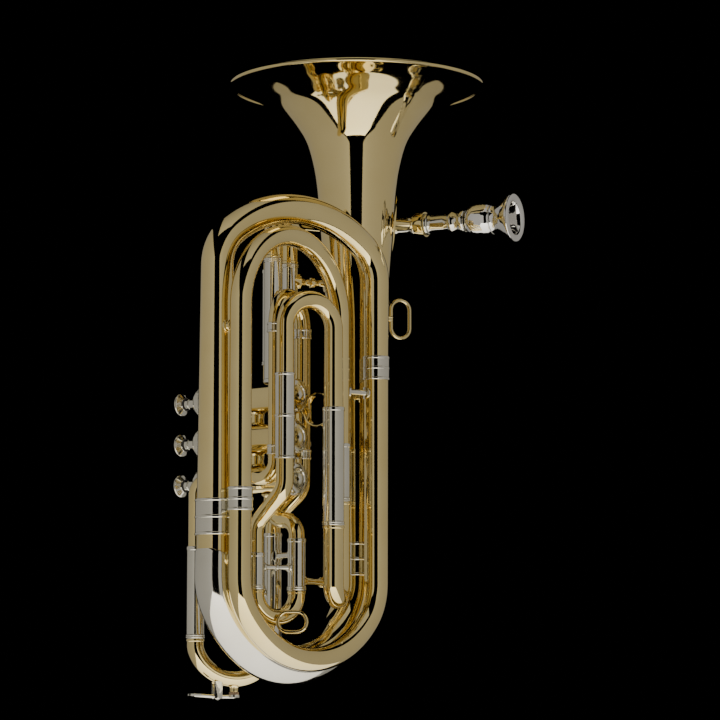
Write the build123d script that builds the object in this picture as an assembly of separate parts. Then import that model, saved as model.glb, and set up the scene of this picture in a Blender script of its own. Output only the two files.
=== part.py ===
from build123d import *
import os
from math import acos, atan2, cos, pi, sin, sqrt, tan

os.makedirs("parts", exist_ok=True)

# Bell-up, three-valve front-action euphonium. Millimetres, +Z up.
# Origin: centre of the bell mouth. Heights in this file are measured above a datum
# level that lies RIM_HEIGHT below the bell mouth.

# Overall
RIM_HEIGHT = 549.0
BELL_DIAMETER = 216.0
BELL_SHEET = 0.8
RIM_BEAD_RADIUS = 1.8
RIM_FLAT_DEPTH = 0.3
TUBE_WALL = 0.7
SOLDER_FIT = 0.05
SLIDE_FIT = 0.05

# Bell flare: height below the mouth and share of the mouth radius
FLARE_DROP = (8, 15, 22, 32, 43, 52, 71, 90, 126, 165, 193, 225, 269, 319, 369)
FLARE_SHARE = (0.833, 0.722, 0.625, 0.528, 0.444, 0.394, 0.343, 0.315, 0.287,
               0.259, 0.243, 0.231, 0.2185, 0.202, 0.184)
BELL_STEM_RADIUS = 18.6
BELL_STEM_TOP = 163.0
BELL_JOINT = 147.0

# Main conical tube: plan positions of the upright runs
BELL_AXIS = (0.0, 0.0)
TUBE_1 = (-169.0, -37.0)
TUBE_R = (-9.5, -38.0)
TUBE_2 = (-165.7, -64.8)
TUBE_T2 = (-45.3, -36.1)
TUBE_T1 = (-63.7, -51.5)
TUBE_B = (-109.4, -47.5)
TUBE_D1 = (-119.5, -22.6)
TUBE_E = (-81.9, -26.7)

LARGE_BOW_TANGENT = 130.0
LARGE_BOW_RISE = 68.0
LARGE_BOW_RADIUS = 17.4
FIRST_JOINT = 174.0
FIRST_RADIUS = 15.0
FIRST_ARCH_TANGENT = 375.0
FIRST_ARCH_RISE = 53.0
SECOND_JOINT = 304.0
SECOND_RADIUS = 10.3
SECOND_BOW_TANGENT = 127.0
SECOND_BOW_RISE = 63.0
THIRD_JOINT = 187.0
THIRD_RADIUS = 9.0
SECOND_ARCH_TANGENT = 341.0
SECOND_ARCH_RISE = 61.6
MAIN_SLIDE_RADIUS = 7.9
THIRD_BRANCH_RADIUS = 7.1

# Bow guard
GUARD_THICKNESS = 1.1
GUARD_TOP = 104.0

# Slide tubing
VALVE_TUBE_RADIUS = 6.4
SLEEVE_WALL = 0.75
BOW_STEP = 0.5
MAIN_SLEEVE_TOP = (239.6, 267.0)
MAIN_SLEEVE_BOTTOM = (192.6, 171.6)
MAIN_CROOK_TANGENT = 126.0
MAIN_LEG_TOP = 229.0
THIRD_ARCH_TANGENT = 330.0
RETURN_SLEEVE_TOP = (149.0, 161.7)
RETURN_SLEEVE_BOTTOM = 120.0
RETURN_CROOK_TANGENT = 117.0
RETURN_LEG_TOP = 139.0

# Valve block: axis runs forward from the bottom caps to the finger buttons
VALVE_BASE = (-81.0, -28.0)
VALVE_AXIS = Vector(-0.2588, 0.9659, 0)
VALVE_SIDE = Vector(0.9659, 0.2588, 0)
VALVE_HEIGHTS = (278.0, 244.0, 210.0)
CASING_RADIUS = 12.5
CASING_BORE = 11.25
CASING_START = 2.1
CASING_END = 100.0
CAP_RADIUS = 13.2
PISTON_RADIUS = 11.2
PISTON_START = 18.5
PISTON_BODY_END = 67.0
PISTON_END = 97.0
PISTON_WALL = 0.8
BUTTON_FACE = 125.0
BUTTON_RADIUS = 9.5
BUTTON_THICKNESS = 4.0
STEM_RADIUS = 2.4
KNUCKLE_ALONG = 44.0
KNUCKLE_RADIUS = 6.0

# Valve loops: distances along the valve axis of each port
FIRST_UP_ALONG = 27.0
FIRST_ELBOW_ALONG = 36.0
LEADPIPE_ALONG = 50.0
SECOND_PORTS = (32.0, 58.0)
THIRD_LEFT_ALONG = 32.0
THIRD_RETURN_ALONG = 60.0
THIRD_RETURN_REACH = 28.0
EXIT_ALONG = 28.0

FIRST_ELBOW_REACH = 32.6
FIRST_SLEEVE_TOP = 392.0
FIRST_CROOK_TANGENT = 405.0
FIRST_LEG_LENGTH = 62.0
SECOND_SLEEVE_END = 38.0
SECOND_CROOK_START = 43.0
THIRD_LOOP_A = (-104.1, -28.3)
THIRD_LOOP_C = (-61.6, -6.9)
THIRD_LEG_D = (-79.0, 9.3)
THIRD_LEG_G = (-138.8, 33.0)
THIRD_LOOP_TANGENT = 335.7
THIRD_SLEEVE_BOTTOM = 82.0
THIRD_SLEEVE_TOP_D = 168.0
THIRD_SLEEVE_TOP_G = 156.0
THIRD_CROOK_TANGENT = 77.0
THIRD_CROOK_RISE = 27.0
THIRD_LEG_TOP = 146.0

# Leadpipe, receiver and mouthpiece
LEADPIPE_RADIUS = 6.25
LEADPIPE_REACH = 25.6
LEADPIPE_HEIGHT = 433.0
BLOW_POINT = (36.2, 18.2)
BLOW_AXIS = Vector(0.449, -0.8935, 0)
RECEIVER_START = 15.0
RECEIVER_END = 83.0
RIM_FACE = 128.0
MOUTHPIECE_RIM_RADIUS = 20.5


def at(plan, height):
    """Point from a plan position and a height above the datum."""
    return Vector(plan[0], plan[1], height - RIM_HEIGHT)


def valve_point(valve, along, side=0.0, up=0.0):
    """Point in the valve block: distance along, to the right of, and above a valve axis."""
    base = at(VALVE_BASE, VALVE_HEIGHTS[valve] + up)
    return base + VALVE_AXIS * along + VALVE_SIDE * side


def blow_point(distance, up=0.0):
    """Point on the mouthpiece line."""
    return at(BLOW_POINT, LEADPIPE_HEIGHT + up) + BLOW_AXIS * distance


def rod(start, end, radius):
    """Solid round bar between two points."""
    plane = Plane(origin=start, z_dir=end - start)
    return extrude(plane * Circle(radius), amount=(end - start).length)


def cone(start, end, radius_1, radius_2):
    """Solid bar whose radius changes evenly between two points."""
    length = (end - start).length
    if abs(radius_1 - radius_2) < 1e-6:
        return rod(start, end, radius_1)
    body = Solid.make_cone(radius_1, radius_2, length)
    return Plane(origin=start, z_dir=end - start) * Part(body.wrapped)


def pipe(start, end, outer, inner):
    """Straight tube, cut cleanly at both ends."""
    run = (end - start).normalized()
    return rod(start, end, outer) - rod(start - run, end + run, inner)


def turned(start, axis, profile):
    """Solid of revolution from (distance, radius) pairs along an axis."""
    plane = Plane(origin=start, x_dir=axis, z_dir=axis.cross(any_normal(axis)))
    points = [(distance, radius) for distance, radius in profile]
    face = plane * make_face(Polyline(*points, close=True))
    return revolve(face, axis=Axis(start, axis))


def any_normal(axis):
    """A unit direction square to the given axis."""
    trial = Vector(0, 0, 1)
    if abs(axis.normalized().dot(trial)) > 0.9:
        trial = Vector(1, 0, 0)
    return axis.cross(trial).normalized()


def bent_edges(points, radii):
    """Straight runs joined by round bends; one radius for each inner corner."""
    edges = []
    start = points[0]
    for before, corner, after, radius in zip(points, points[1:], points[2:], radii):
        into = (corner - before).normalized()
        out = (after - corner).normalized()
        turn = acos(max(-1.0, min(1.0, into.dot(out))))
        reach = radius * tan(turn / 2)
        inward = (out - into).normalized()
        arc_start = corner - into * reach
        arc_end = corner + out * reach
        centre = corner + inward * (radius / cos(turn / 2))
        if (arc_start - start).length > 0.05:
            edges.append(Line(start, arc_start))
        edges.append(ThreePointArc(arc_start, centre - inward * radius, arc_end))
        start = arc_end
    if (points[-1] - start).length > 0.05:
        edges.append(Line(start, points[-1]))
    return edges


def arch_edges(left, right, rise, end_radius, up=1.0):
    """Bow between two upright runs: tight ends and a flatter crown."""
    across = (right - left).normalized()
    lift = Vector(0, 0, up)
    half = (right - left).length / 2
    middle = (left + right) * 0.5
    if rise >= half - 0.5:
        return [ThreePointArc(left, middle + lift * half, right)]
    inset = half - end_radius
    drop = (inset ** 2 - (rise - end_radius) ** 2) / (2 * (rise - end_radius))
    bend = atan2(drop, inset)

    def on_end(side, angle):
        centre = middle + across * (side * inset)
        return centre + across * (side * end_radius * cos(angle)) + lift * (end_radius * sin(angle))

    first = ThreePointArc(left, on_end(-1, bend / 2), on_end(-1, bend))
    crown = ThreePointArc(on_end(-1, bend), middle + lift * rise, on_end(1, bend))
    last = ThreePointArc(on_end(1, bend), on_end(1, bend / 2), right)
    return [first, crown, last]


def swept(edges, radius):
    """Solid round bar of one radius along a chain of edges."""
    return tapered(edges, [radius] * (len(edges) + 1))


def round_bend(edge, radius):
    """Solid quarter, half or part ring following an arc."""
    centre = edge.arc_center
    start = edge @ 0
    normal = (start - centre).cross(edge % 0).normalized()
    angle = edge.length / edge.radius * 180 / pi
    section = Plane(origin=start, x_dir=normal, z_dir=edge % 0) * Circle(radius)
    return revolve(section, axis=Axis(centre, normal), revolution_arc=angle)


def tapered(edges, radii):
    """Solid bar along runs and bends; straight runs carry the taper, bends keep their radius."""
    body = None
    for edge, first, last in zip(edges, radii, radii[1:]):
        if edge.geom_type == GeomType.LINE:
            piece = cone(edge @ 0, edge @ 1, first, last)
        else:
            piece = round_bend(edge, first)
        body = piece if body is None else body + piece
    return body


def even_radii(edges, first, last):
    """Radii at the junctions of a chain: the taper is shared out over its straight runs."""
    total = sum(edge.length for edge in edges if edge.geom_type == GeomType.LINE)
    gone = 0.0
    radii = [first]
    for edge in edges:
        if edge.geom_type == GeomType.LINE:
            gone += edge.length
        radii.append(first + (last - first) * gone / total)
    return radii


def plan_normal(left, right):
    """Horizontal direction square to the plane of a bow."""
    run = Vector(right[0] - left[0], right[1] - left[1], 0).normalized()
    return Vector(-run.Y, run.X, 0)


def banded_sleeve(start, end, bore, wall=0.9, bead=0.6, bands=3):
    """Ferrule with raised bands at its ends and between them."""
    run = (end - start).normalized()
    length = (end - start).length
    body = rod(start, end, bore + wall)
    for index in range(bands):
        centre = 1.1 + (length - 2.2) * index / (bands - 1)
        band = rod(start + run * (centre - 1.1), start + run * (centre + 1.1), bore + wall + bead)
        body += band
    return body - rod(start - run, end + run, bore)


# ---------------------------------------------------------------- bell

def bell_stations(extra=0.0):
    """Outer bell outline as (radius, z) pairs from the mouth down to the stem."""
    mouth = BELL_DIAMETER / 2 - RIM_BEAD_RADIUS
    pairs = [(mouth + extra, -0.6), ((mouth + extra) * 0.972, -2.2)]
    for drop, share in zip(FLARE_DROP, FLARE_SHARE):
        pairs.append((share * BELL_DIAMETER / 2 + extra, -float(drop)))
    pairs.append((BELL_STEM_RADIUS + extra, BELL_STEM_TOP - RIM_HEIGHT))
    return pairs


def offset_inward(pairs, distance):
    """Outline moved towards the bell axis, square to itself."""
    moved = []
    for index, (radius, height) in enumerate(pairs):
        before = pairs[max(index - 1, 0)]
        after = pairs[min(index + 1, len(pairs) - 1)]
        run_r = after[0] - before[0]
        run_z = after[1] - before[1]
        size = sqrt(run_r ** 2 + run_z ** 2)
        moved.append((radius + distance * run_z / size, height - distance * run_r / size))
    return moved


def outline_curve(pairs):
    """Smooth upright curve through (radius, z) pairs."""
    points = [Vector(radius, 0, height) for radius, height in pairs]
    return Spline(*points, tangents=[points[1] - points[0], Vector(0, 0, -1)])


def bell_filled(extra=0.0):
    """The bell as a solid of revolution, for shaping what is soldered to it."""
    pairs = bell_stations(extra)
    top = Vector(0, 0, pairs[0][1])
    foot = at(BELL_AXIS, BELL_JOINT)
    edge_foot = foot + Vector(BELL_STEM_RADIUS + extra, 0, 0)
    curve = outline_curve(pairs)
    loop = [curve, Line(curve @ 1, edge_foot), Line(edge_foot, foot), Line(foot, top), Line(top, curve @ 0)]
    return revolve(make_face(Wire(loop)), axis=Axis.Z)


def bell():
    pairs = bell_stations()
    inner_pairs = offset_inward(pairs, BELL_SHEET)
    inner_pairs[-1] = (BELL_STEM_RADIUS - BELL_SHEET, pairs[-1][1])
    outer = outline_curve(pairs)
    inner = outline_curve(inner_pairs)
    foot_z = BELL_JOINT - RIM_HEIGHT
    outer_foot = Vector(BELL_STEM_RADIUS, 0, foot_z)
    inner_foot = Vector(BELL_STEM_RADIUS - BELL_SHEET, 0, foot_z)
    loop = [outer, Line(outer @ 1, outer_foot), Line(outer_foot, inner_foot), Line(inner_foot, inner @ 1),
            inner, Line(inner @ 0, outer @ 0)]
    body = revolve(make_face(Wire(loop)), axis=Axis.Z) - bead_solid()
    return body.solids().sort_by(SortBy.VOLUME)[-1]


def bead_solid():
    """Wire bead at the mouth, with a narrow flat on top."""
    centre_radius = BELL_DIAMETER / 2 - RIM_BEAD_RADIUS
    drop = RIM_BEAD_RADIUS - RIM_FLAT_DEPTH
    section = Plane(origin=(centre_radius, 0, -drop), x_dir=(1, 0, 0), z_dir=(0, -1, 0))
    disc = section * Circle(RIM_BEAD_RADIUS)
    ring = revolve(disc, axis=Axis.Z)
    return ring - Pos(0, 0, 5) * Box(BELL_DIAMETER + 20, BELL_DIAMETER + 20, 10)


def bell_ferrule():
    return banded_sleeve(at(BELL_AXIS, 135), at(BELL_AXIS, BELL_STEM_TOP - 0.5), BELL_STEM_RADIUS + SOLDER_FIT)


# ---------------------------------------------------------------- conical branches

def large_bow_edges():
    left = at(BELL_AXIS, LARGE_BOW_TANGENT)
    right = at(TUBE_1, LARGE_BOW_TANGENT)
    start = Line(at(BELL_AXIS, BELL_JOINT), at(BELL_AXIS, 135))
    fall = Line(at(BELL_AXIS, 135), left)
    bow = arch_edges(left, right, LARGE_BOW_RISE, 45.0, up=-1.0)
    rise = Line(right, at(TUBE_1, 158))
    end = Line(at(TUBE_1, 158), at(TUBE_1, FIRST_JOINT))
    return [start, fall] + bow + [rise, end]


def large_bow_radii():
    bow = LARGE_BOW_RADIUS
    return [BELL_STEM_RADIUS, BELL_STEM_RADIUS, bow, bow, bow, bow, FIRST_RADIUS, FIRST_RADIUS]


def large_bow_filled(extra=0.0):
    radii = [radius + extra for radius in large_bow_radii()]
    return tapered(large_bow_edges(), radii)


def large_bottom_bow():
    return large_bow_filled() - large_bow_filled(-TUBE_WALL)


def bow_guard():
    normal = plan_normal(BELL_AXIS, TUBE_1)
    shell = large_bow_filled(GUARD_THICKNESS) - large_bow_filled(SOLDER_FIT)
    edges = large_bow_edges()[2:5]
    left = edges[0] @ 0
    right = edges[-1] @ 1
    inside = make_face(Wire(edges + [Line(right, left)]))
    inner_side = extrude(inside, amount=40, dir=normal, both=True)
    across = (right - left).normalized()
    width = 2 * (BELL_STEM_RADIUS + 4)
    bottom = LARGE_BOW_TANGENT - LARGE_BOW_RISE - 60
    depth = GUARD_TOP - bottom
    middle = (left + right) * 0.5 + Vector(0, 0, (GUARD_TOP + bottom) / 2 - LARGE_BOW_TANGENT)
    frame = Plane(origin=middle - across * 160, x_dir=normal, z_dir=across)
    tongue = extrude(frame * RectangleRounded(width, depth, 16), amount=320)
    return (shell & tongue) - inner_side


def large_ferrule():
    return banded_sleeve(at(TUBE_1, 160), at(TUBE_1, 188.6), FIRST_RADIUS + SOLDER_FIT, wall=1.1, bead=0.6)


def first_branch_edges():
    left = at(TUBE_1, FIRST_ARCH_TANGENT)
    right = at(TUBE_R, FIRST_ARCH_TANGENT)
    foot = Line(at(TUBE_1, FIRST_JOINT), at(TUBE_1, 190))
    rise = Line(at(TUBE_1, 190), left)
    fall = Line(right, at(TUBE_R, 316))
    end = Line(at(TUBE_R, 316), at(TUBE_R, SECOND_JOINT))
    return [foot, rise] + arch_edges(left, right, FIRST_ARCH_RISE, 38.0) + [fall, end]


def first_branch_filled(extra=0.0):
    edges = first_branch_edges()
    radii = [FIRST_RADIUS] + even_radii(edges[1:-1], FIRST_RADIUS, SECOND_RADIUS) + [SECOND_RADIUS]
    return tapered(edges, [radius + extra for radius in radii])


def first_branch():
    return first_branch_filled() - first_branch_filled(-TUBE_WALL)


def second_ferrule():
    return banded_sleeve(at(TUBE_R, 294), at(TUBE_R, 313.6), SECOND_RADIUS + SOLDER_FIT, wall=0.7, bead=0.4)


def second_bow_edges():
    left = at(TUBE_R, SECOND_BOW_TANGENT)
    right = at(TUBE_2, SECOND_BOW_TANGENT)
    start = Line(at(TUBE_R, SECOND_JOINT), at(TUBE_R, 292))
    fall = Line(at(TUBE_R, 292), left)
    bow = arch_edges(left, right, SECOND_BOW_RISE, 48.0, up=-1.0)
    rise = Line(right, at(TUBE_2, 176))
    end = Line(at(TUBE_2, 176), at(TUBE_2, THIRD_JOINT))
    return [start, fall] + bow + [rise, end]


def second_bow_filled(extra=0.0):
    edges = second_bow_edges()
    radii = [SECOND_RADIUS] + even_radii(edges[1:-1], SECOND_RADIUS, THIRD_RADIUS) + [THIRD_RADIUS]
    return tapered(edges, [radius + extra for radius in radii])


def second_bottom_bow():
    return second_bow_filled() - second_bow_filled(-TUBE_WALL)


def third_ferrule():
    return banded_sleeve(at(TUBE_2, 178), at(TUBE_2, 196.6), THIRD_RADIUS + SOLDER_FIT)


def second_branch_edges():
    left = at(TUBE_2, SECOND_ARCH_TANGENT)
    right = at(TUBE_T2, SECOND_ARCH_TANGENT)
    foot = Line(at(TUBE_2, THIRD_JOINT), at(TUBE_2, 198))
    rise = Line(at(TUBE_2, 198), left)
    fall = Line(right, at(TUBE_T2, 250))
    end = Line(at(TUBE_T2, 250), at(TUBE_T2, 231))
    return [foot, rise] + arch_edges(left, right, SECOND_ARCH_RISE, 50.0) + [fall, end]


def second_branch_filled(extra=0.0):
    edges = second_branch_edges()
    taper = even_radii(edges[1:-1], THIRD_RADIUS, MAIN_SLIDE_RADIUS)
    radii = [THIRD_RADIUS] + taper + [MAIN_SLIDE_RADIUS]
    return tapered(edges, [radius + extra for radius in radii])


def second_branch():
    return second_branch_filled() - second_branch_filled(-TUBE_WALL)


# ---------------------------------------------------------------- slides

def sleeve_pair(ends_1, ends_2, tube_radius, brace_points, brace_radius=2.2):
    """Two outer slide tubes with end collars and the short brace between them."""
    bore = tube_radius + SLIDE_FIT
    outer = bore + SLEEVE_WALL
    body = rod(brace_points[0], brace_points[1], brace_radius)
    for start, end in (ends_1, ends_2):
        run = (end - start).normalized()
        body += rod(start, end, outer)
        body += rod(start, start + run * 3, outer + 0.7)
        body += rod(end - run * 3, end, outer + 0.45)
    for start, end in (ends_1, ends_2):
        run = (end - start).normalized()
        body -= rod(start - run, end + run, bore)
    return body


def crook(leg_1, joint_1, bow_edges, joint_2, leg_2, tube_radius):
    """Moving slide: two inner legs and the wider bow they are soldered into."""
    start = bow_edges[0] @ 0
    end = bow_edges[-1] @ 1
    whole = [Line(leg_1, start)] + bow_edges + [Line(end, leg_2)]
    outer_run = [Line(joint_1, start)] + bow_edges + [Line(end, joint_2)]
    body = swept(whole, tube_radius) + swept(outer_run, tube_radius + BOW_STEP)
    return body - swept(whole, tube_radius - TUBE_WALL)


def main_slide_sleeves():
    first = (at(TUBE_T2, MAIN_SLEEVE_BOTTOM[0]), at(TUBE_T2, MAIN_SLEEVE_TOP[0]))
    second = (at(TUBE_T1, MAIN_SLEEVE_BOTTOM[1]), at(TUBE_T1, MAIN_SLEEVE_TOP[1]))
    return sleeve_pair(first, second, MAIN_SLIDE_RADIUS, (at(TUBE_T2, 218), at(TUBE_T1, 218)))


def main_slide_crook():
    left = at(TUBE_T2, MAIN_CROOK_TANGENT)
    right = at(TUBE_T1, MAIN_CROOK_TANGENT)
    bow = arch_edges(left, right, 40, 12, up=-1.0)
    joint_1 = at(TUBE_T2, MAIN_SLEEVE_BOTTOM[0] - 0.4)
    joint_2 = at(TUBE_T1, MAIN_SLEEVE_BOTTOM[1] - 0.4)
    leg_1 = at(TUBE_T2, MAIN_LEG_TOP)
    leg_2 = at(TUBE_T1, MAIN_LEG_TOP)
    return crook(leg_1, joint_1, bow, joint_2, leg_2, MAIN_SLIDE_RADIUS)


def third_branch_filled(extra=0.0):
    left = at(TUBE_T1, THIRD_ARCH_TANGENT)
    right = at(TUBE_B, THIRD_ARCH_TANGENT)
    foot = [Line(at(TUBE_T1, 240), at(TUBE_T1, 269)), Line(at(TUBE_T1, 269), left)]
    arch = arch_edges(left, right, 40, 22)
    fall = bent_edges([right, at(TUBE_B, 199), at(TUBE_D1, 172), at(TUBE_D1, 143)], [20, 18])
    radii = [MAIN_SLIDE_RADIUS, MAIN_SLIDE_RADIUS, THIRD_BRANCH_RADIUS, THIRD_BRANCH_RADIUS, THIRD_BRANCH_RADIUS,
             THIRD_BRANCH_RADIUS, VALVE_TUBE_RADIUS, VALVE_TUBE_RADIUS, VALVE_TUBE_RADIUS]
    return tapered(foot + arch + fall, [radius + extra for radius in radii])


def third_branch():
    return third_branch_filled() - third_branch_filled(-TUBE_WALL)


def return_slide_sleeves():
    first = (at(TUBE_D1, RETURN_SLEEVE_BOTTOM), at(TUBE_D1, RETURN_SLEEVE_TOP[0]))
    second = (at(TUBE_E, RETURN_SLEEVE_BOTTOM), at(TUBE_E, RETURN_SLEEVE_TOP[1]))
    return sleeve_pair(first, second, VALVE_TUBE_RADIUS, (at(TUBE_D1, 138), at(TUBE_E, 138)))


def return_slide_crook():
    left = at(TUBE_D1, RETURN_CROOK_TANGENT)
    right = at(TUBE_E, RETURN_CROOK_TANGENT)
    bow = arch_edges(left, right, 40, 12, up=-1.0)
    joint = RETURN_SLEEVE_BOTTOM - 0.4
    body = crook(at(TUBE_D1, RETURN_LEG_TOP), at(TUBE_D1, joint), bow, at(TUBE_E, joint),
                 at(TUBE_E, RETURN_LEG_TOP), VALVE_TUBE_RADIUS)
    centre = at((-96.1, -39.9), 94.0)
    ring = oval_ring(centre, Vector(0.788, -0.616, 0), Vector(0, 0, 1), 23.0, 16.0, 1.5)
    post = rod(at((-96.1, -25.2), 98.7), at((-96.1, -39.9), 101.8), 1.9)
    bore = swept(bow, VALVE_TUBE_RADIUS - TUBE_WALL)
    return body + ring + (post - bore)


def oval_ring(centre, wide, tall, width, height, wire_radius):
    """Closed ring of round wire: two straight sides and two round ends."""
    plane = Plane(origin=centre, x_dir=wide, z_dir=wide.cross(tall))
    length = max(width, height)
    breadth = min(width, height)
    turn = 0 if width >= height else 90
    path = (plane * Rot(0, 0, turn) * SlotOverall(length, breadth)).face().outer_wire()
    start = path @ 0
    section = Plane(origin=start, z_dir=path % 0) * Circle(wire_radius)
    return sweep(section, path=path)


# ---------------------------------------------------------------- valves

def valve_ports(valve):
    """Directions and distances of the holes in one valve: (along, direction)."""
    up = Vector(0, 0, 1)
    if valve == 0:
        return [(FIRST_UP_ALONG, up), (FIRST_ELBOW_ALONG, VALVE_SIDE), (LEADPIPE_ALONG, VALVE_SIDE),
                (KNUCKLE_ALONG, up * -1)]
    if valve == 1:
        return [(SECOND_PORTS[0], VALVE_SIDE), (SECOND_PORTS[1], VALVE_SIDE), (KNUCKLE_ALONG, up),
                (KNUCKLE_ALONG, up * -1)]
    return [(THIRD_LEFT_ALONG, VALVE_SIDE * -1), (THIRD_RETURN_ALONG, VALVE_SIDE * -1),
            (EXIT_ALONG, up * -1), (KNUCKLE_ALONG, up)]


def casing_solid(valve):
    return rod(valve_point(valve, CASING_START), valve_point(valve, CASING_END), CASING_RADIUS)


def casing(valve):
    body = casing_solid(valve)
    body += rod(valve_point(valve, 10.2), valve_point(valve, 12.4), CASING_RADIUS + 0.6)
    body += rod(valve_point(valve, 90.0), valve_point(valve, 92.2), CASING_RADIUS + 0.6)
    body -= rod(valve_point(valve, CASING_START - 1), valve_point(valve, CASING_END + 1), CASING_BORE)
    for along, direction in valve_ports(valve):
        centre = valve_point(valve, along)
        body -= rod(centre, centre + direction * 20, VALVE_TUBE_RADIUS - TUBE_WALL)
    return body


def knurled(start, end, radius, teeth=36):
    """Disc whose rim carries fine grip flutes."""
    run = end - start
    body = rod(start, end, radius)
    side = any_normal(run)
    across = run.normalized().cross(side)
    for index in range(teeth):
        angle = 2 * pi * index / teeth
        offset = (side * cos(angle) + across * sin(angle)) * (radius + 0.35)
        body -= rod(start + offset, end + offset, 0.75)
    return body


def bottom_cap(valve):
    body = rod(valve_point(valve, 0), valve_point(valve, 9.5), CAP_RADIUS)
    body += knurled(valve_point(valve, 1.2), valve_point(valve, 5.2), CAP_RADIUS + 0.5)
    body -= rod(valve_point(valve, 2), valve_point(valve, 10), CASING_RADIUS + SOLDER_FIT)
    body -= rod(valve_point(valve, -1), valve_point(valve, 0.8), 8.0)
    return body - rod(valve_point(valve, -1), valve_point(valve, 3), 1.6)


def top_cap(valve):
    body = rod(valve_point(valve, 93), valve_point(valve, 103), CAP_RADIUS)
    body += knurled(valve_point(valve, 95.5), valve_point(valve, 99.5), CAP_RADIUS + 0.5)
    body -= rod(valve_point(valve, 92), valve_point(valve, 100.2), CASING_RADIUS + SOLDER_FIT)
    body -= rod(valve_point(valve, 102), valve_point(valve, 104), 8.6)
    return body - rod(valve_point(valve, 99), valve_point(valve, 104), 3.2)


def piston(valve):
    body = pipe(valve_point(valve, PISTON_START), valve_point(valve, PISTON_END),
                PISTON_RADIUS, PISTON_RADIUS - PISTON_WALL)
    body += rod(valve_point(valve, PISTON_START), valve_point(valve, PISTON_START + 1.2), PISTON_RADIUS)
    shoulder = valve_point(valve, PISTON_BODY_END - 1.2)
    body += rod(shoulder, valve_point(valve, PISTON_BODY_END), PISTON_RADIUS)
    body += rod(valve_point(valve, PISTON_END - 2), valve_point(valve, PISTON_END), PISTON_RADIUS)
    bore = VALVE_TUBE_RADIUS - TUBE_WALL
    barrel = rod(valve_point(valve, PISTON_START), valve_point(valve, PISTON_BODY_END), PISTON_RADIUS)
    passages = valve_ports(valve)
    for along, direction in passages:
        centre = valve_point(valve, along)
        body += rod(centre, centre + direction * 20, bore + 0.6) & barrel
    for along, direction in passages:
        centre = valve_point(valve, along)
        body -= rod(centre - direction * 2, centre + direction * 20, bore)
    slot_centre = valve_point(valve, (PISTON_BODY_END + 1 + PISTON_BODY_END + 21) / 2)
    frame = Plane(origin=slot_centre, x_dir=VALVE_AXIS, z_dir=Vector(0, 0, 1))
    return body - frame * Box(20, 40, 3.6)


def valve_guide(valve):
    centre = valve_point(valve, PISTON_BODY_END + 3)
    frame = Plane(origin=centre, x_dir=VALVE_AXIS, z_dir=Vector(0, 0, 1))
    bar = frame * Box(2.4, 2 * (CASING_BORE - SOLDER_FIT), 3.0)
    return bar & rod(valve_point(valve, 60), valve_point(valve, 80), CASING_BORE - SOLDER_FIT)


def valve_spring(valve):
    start = PISTON_BODY_END + 4.9
    length = PISTON_END - 2 - start - 0.7
    plane = Plane(origin=valve_point(valve, start), z_dir=VALVE_AXIS)
    path = plane * Helix(pitch=length / 6, height=length, radius=7.0)
    section = Plane(origin=path @ 0, z_dir=path % 0) * Circle(0.45)
    return sweep(section, path=path, is_frenet=True)


def valve_button(valve):
    base = valve_point(valve, 0)
    face = BUTTON_FACE
    back = face - BUTTON_THICKNESS
    profile = [(PISTON_END, 0), (PISTON_END, STEM_RADIUS), (back, STEM_RADIUS), (back, BUTTON_RADIUS - 1.6),
               (back + 1.0, BUTTON_RADIUS - 0.3), (back + 2.0, BUTTON_RADIUS), (face - 0.7, BUTTON_RADIUS - 0.2),
               (face, BUTTON_RADIUS - 1.4), (face - 0.5, BUTTON_RADIUS - 3.2), (face - 1.2, 0)]
    return turned(base, VALVE_AXIS, profile)


def valve_felt(valve):
    back = BUTTON_FACE - BUTTON_THICKNESS
    return pipe(valve_point(valve, back - 1.5), valve_point(valve, back), 6.5, STEM_RADIUS + SOLDER_FIT)


def knuckle(upper, lower):
    """Short tube between two neighbouring casings."""
    start = valve_point(upper, KNUCKLE_ALONG)
    end = valve_point(lower, KNUCKLE_ALONG)
    body = rod(start, end, KNUCKLE_RADIUS + 0.4) - casing_solid(upper) - casing_solid(lower)
    return body - rod(start, end, VALVE_TUBE_RADIUS - TUBE_WALL)


# ---------------------------------------------------------------- first valve slide

def first_i():
    point = valve_point(0, FIRST_UP_ALONG)
    return (point.X, point.Y)


def first_j():
    point = valve_point(0, FIRST_ELBOW_ALONG, FIRST_ELBOW_REACH)
    return (point.X, point.Y)


def first_slide_sleeves():
    first = (at(first_i(), VALVE_HEIGHTS[0] + 9), at(first_i(), FIRST_SLEEVE_TOP))
    second = (at(first_j(), VALVE_HEIGHTS[0] + 18), at(first_j(), FIRST_SLEEVE_TOP))
    brace = (at(first_i(), 362), at(first_j(), 362))
    return sleeve_pair(first, second, VALVE_TUBE_RADIUS, brace) - casing_solid(0)


def first_valve_elbow():
    start = valve_point(0, FIRST_ELBOW_ALONG)
    corner = valve_point(0, FIRST_ELBOW_ALONG, FIRST_ELBOW_REACH)
    end = at(first_j(), VALVE_HEIGHTS[0] + 24)
    edges = bent_edges([start, corner, end], [14])
    return swept(edges, VALVE_TUBE_RADIUS) - swept(edges, VALVE_TUBE_RADIUS - TUBE_WALL) - casing_solid(0)


def first_slide_crook():
    left = at(first_i(), FIRST_CROOK_TANGENT)
    right = at(first_j(), FIRST_CROOK_TANGENT)
    bow = arch_edges(left, right, 40, 12)
    joint = FIRST_SLEEVE_TOP + 0.4
    foot = FIRST_SLEEVE_TOP - FIRST_LEG_LENGTH
    return crook(at(first_i(), foot), at(first_i(), joint), bow, at(first_j(), joint),
                 at(first_j(), foot), VALVE_TUBE_RADIUS)


# ---------------------------------------------------------------- second valve slide

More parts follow.
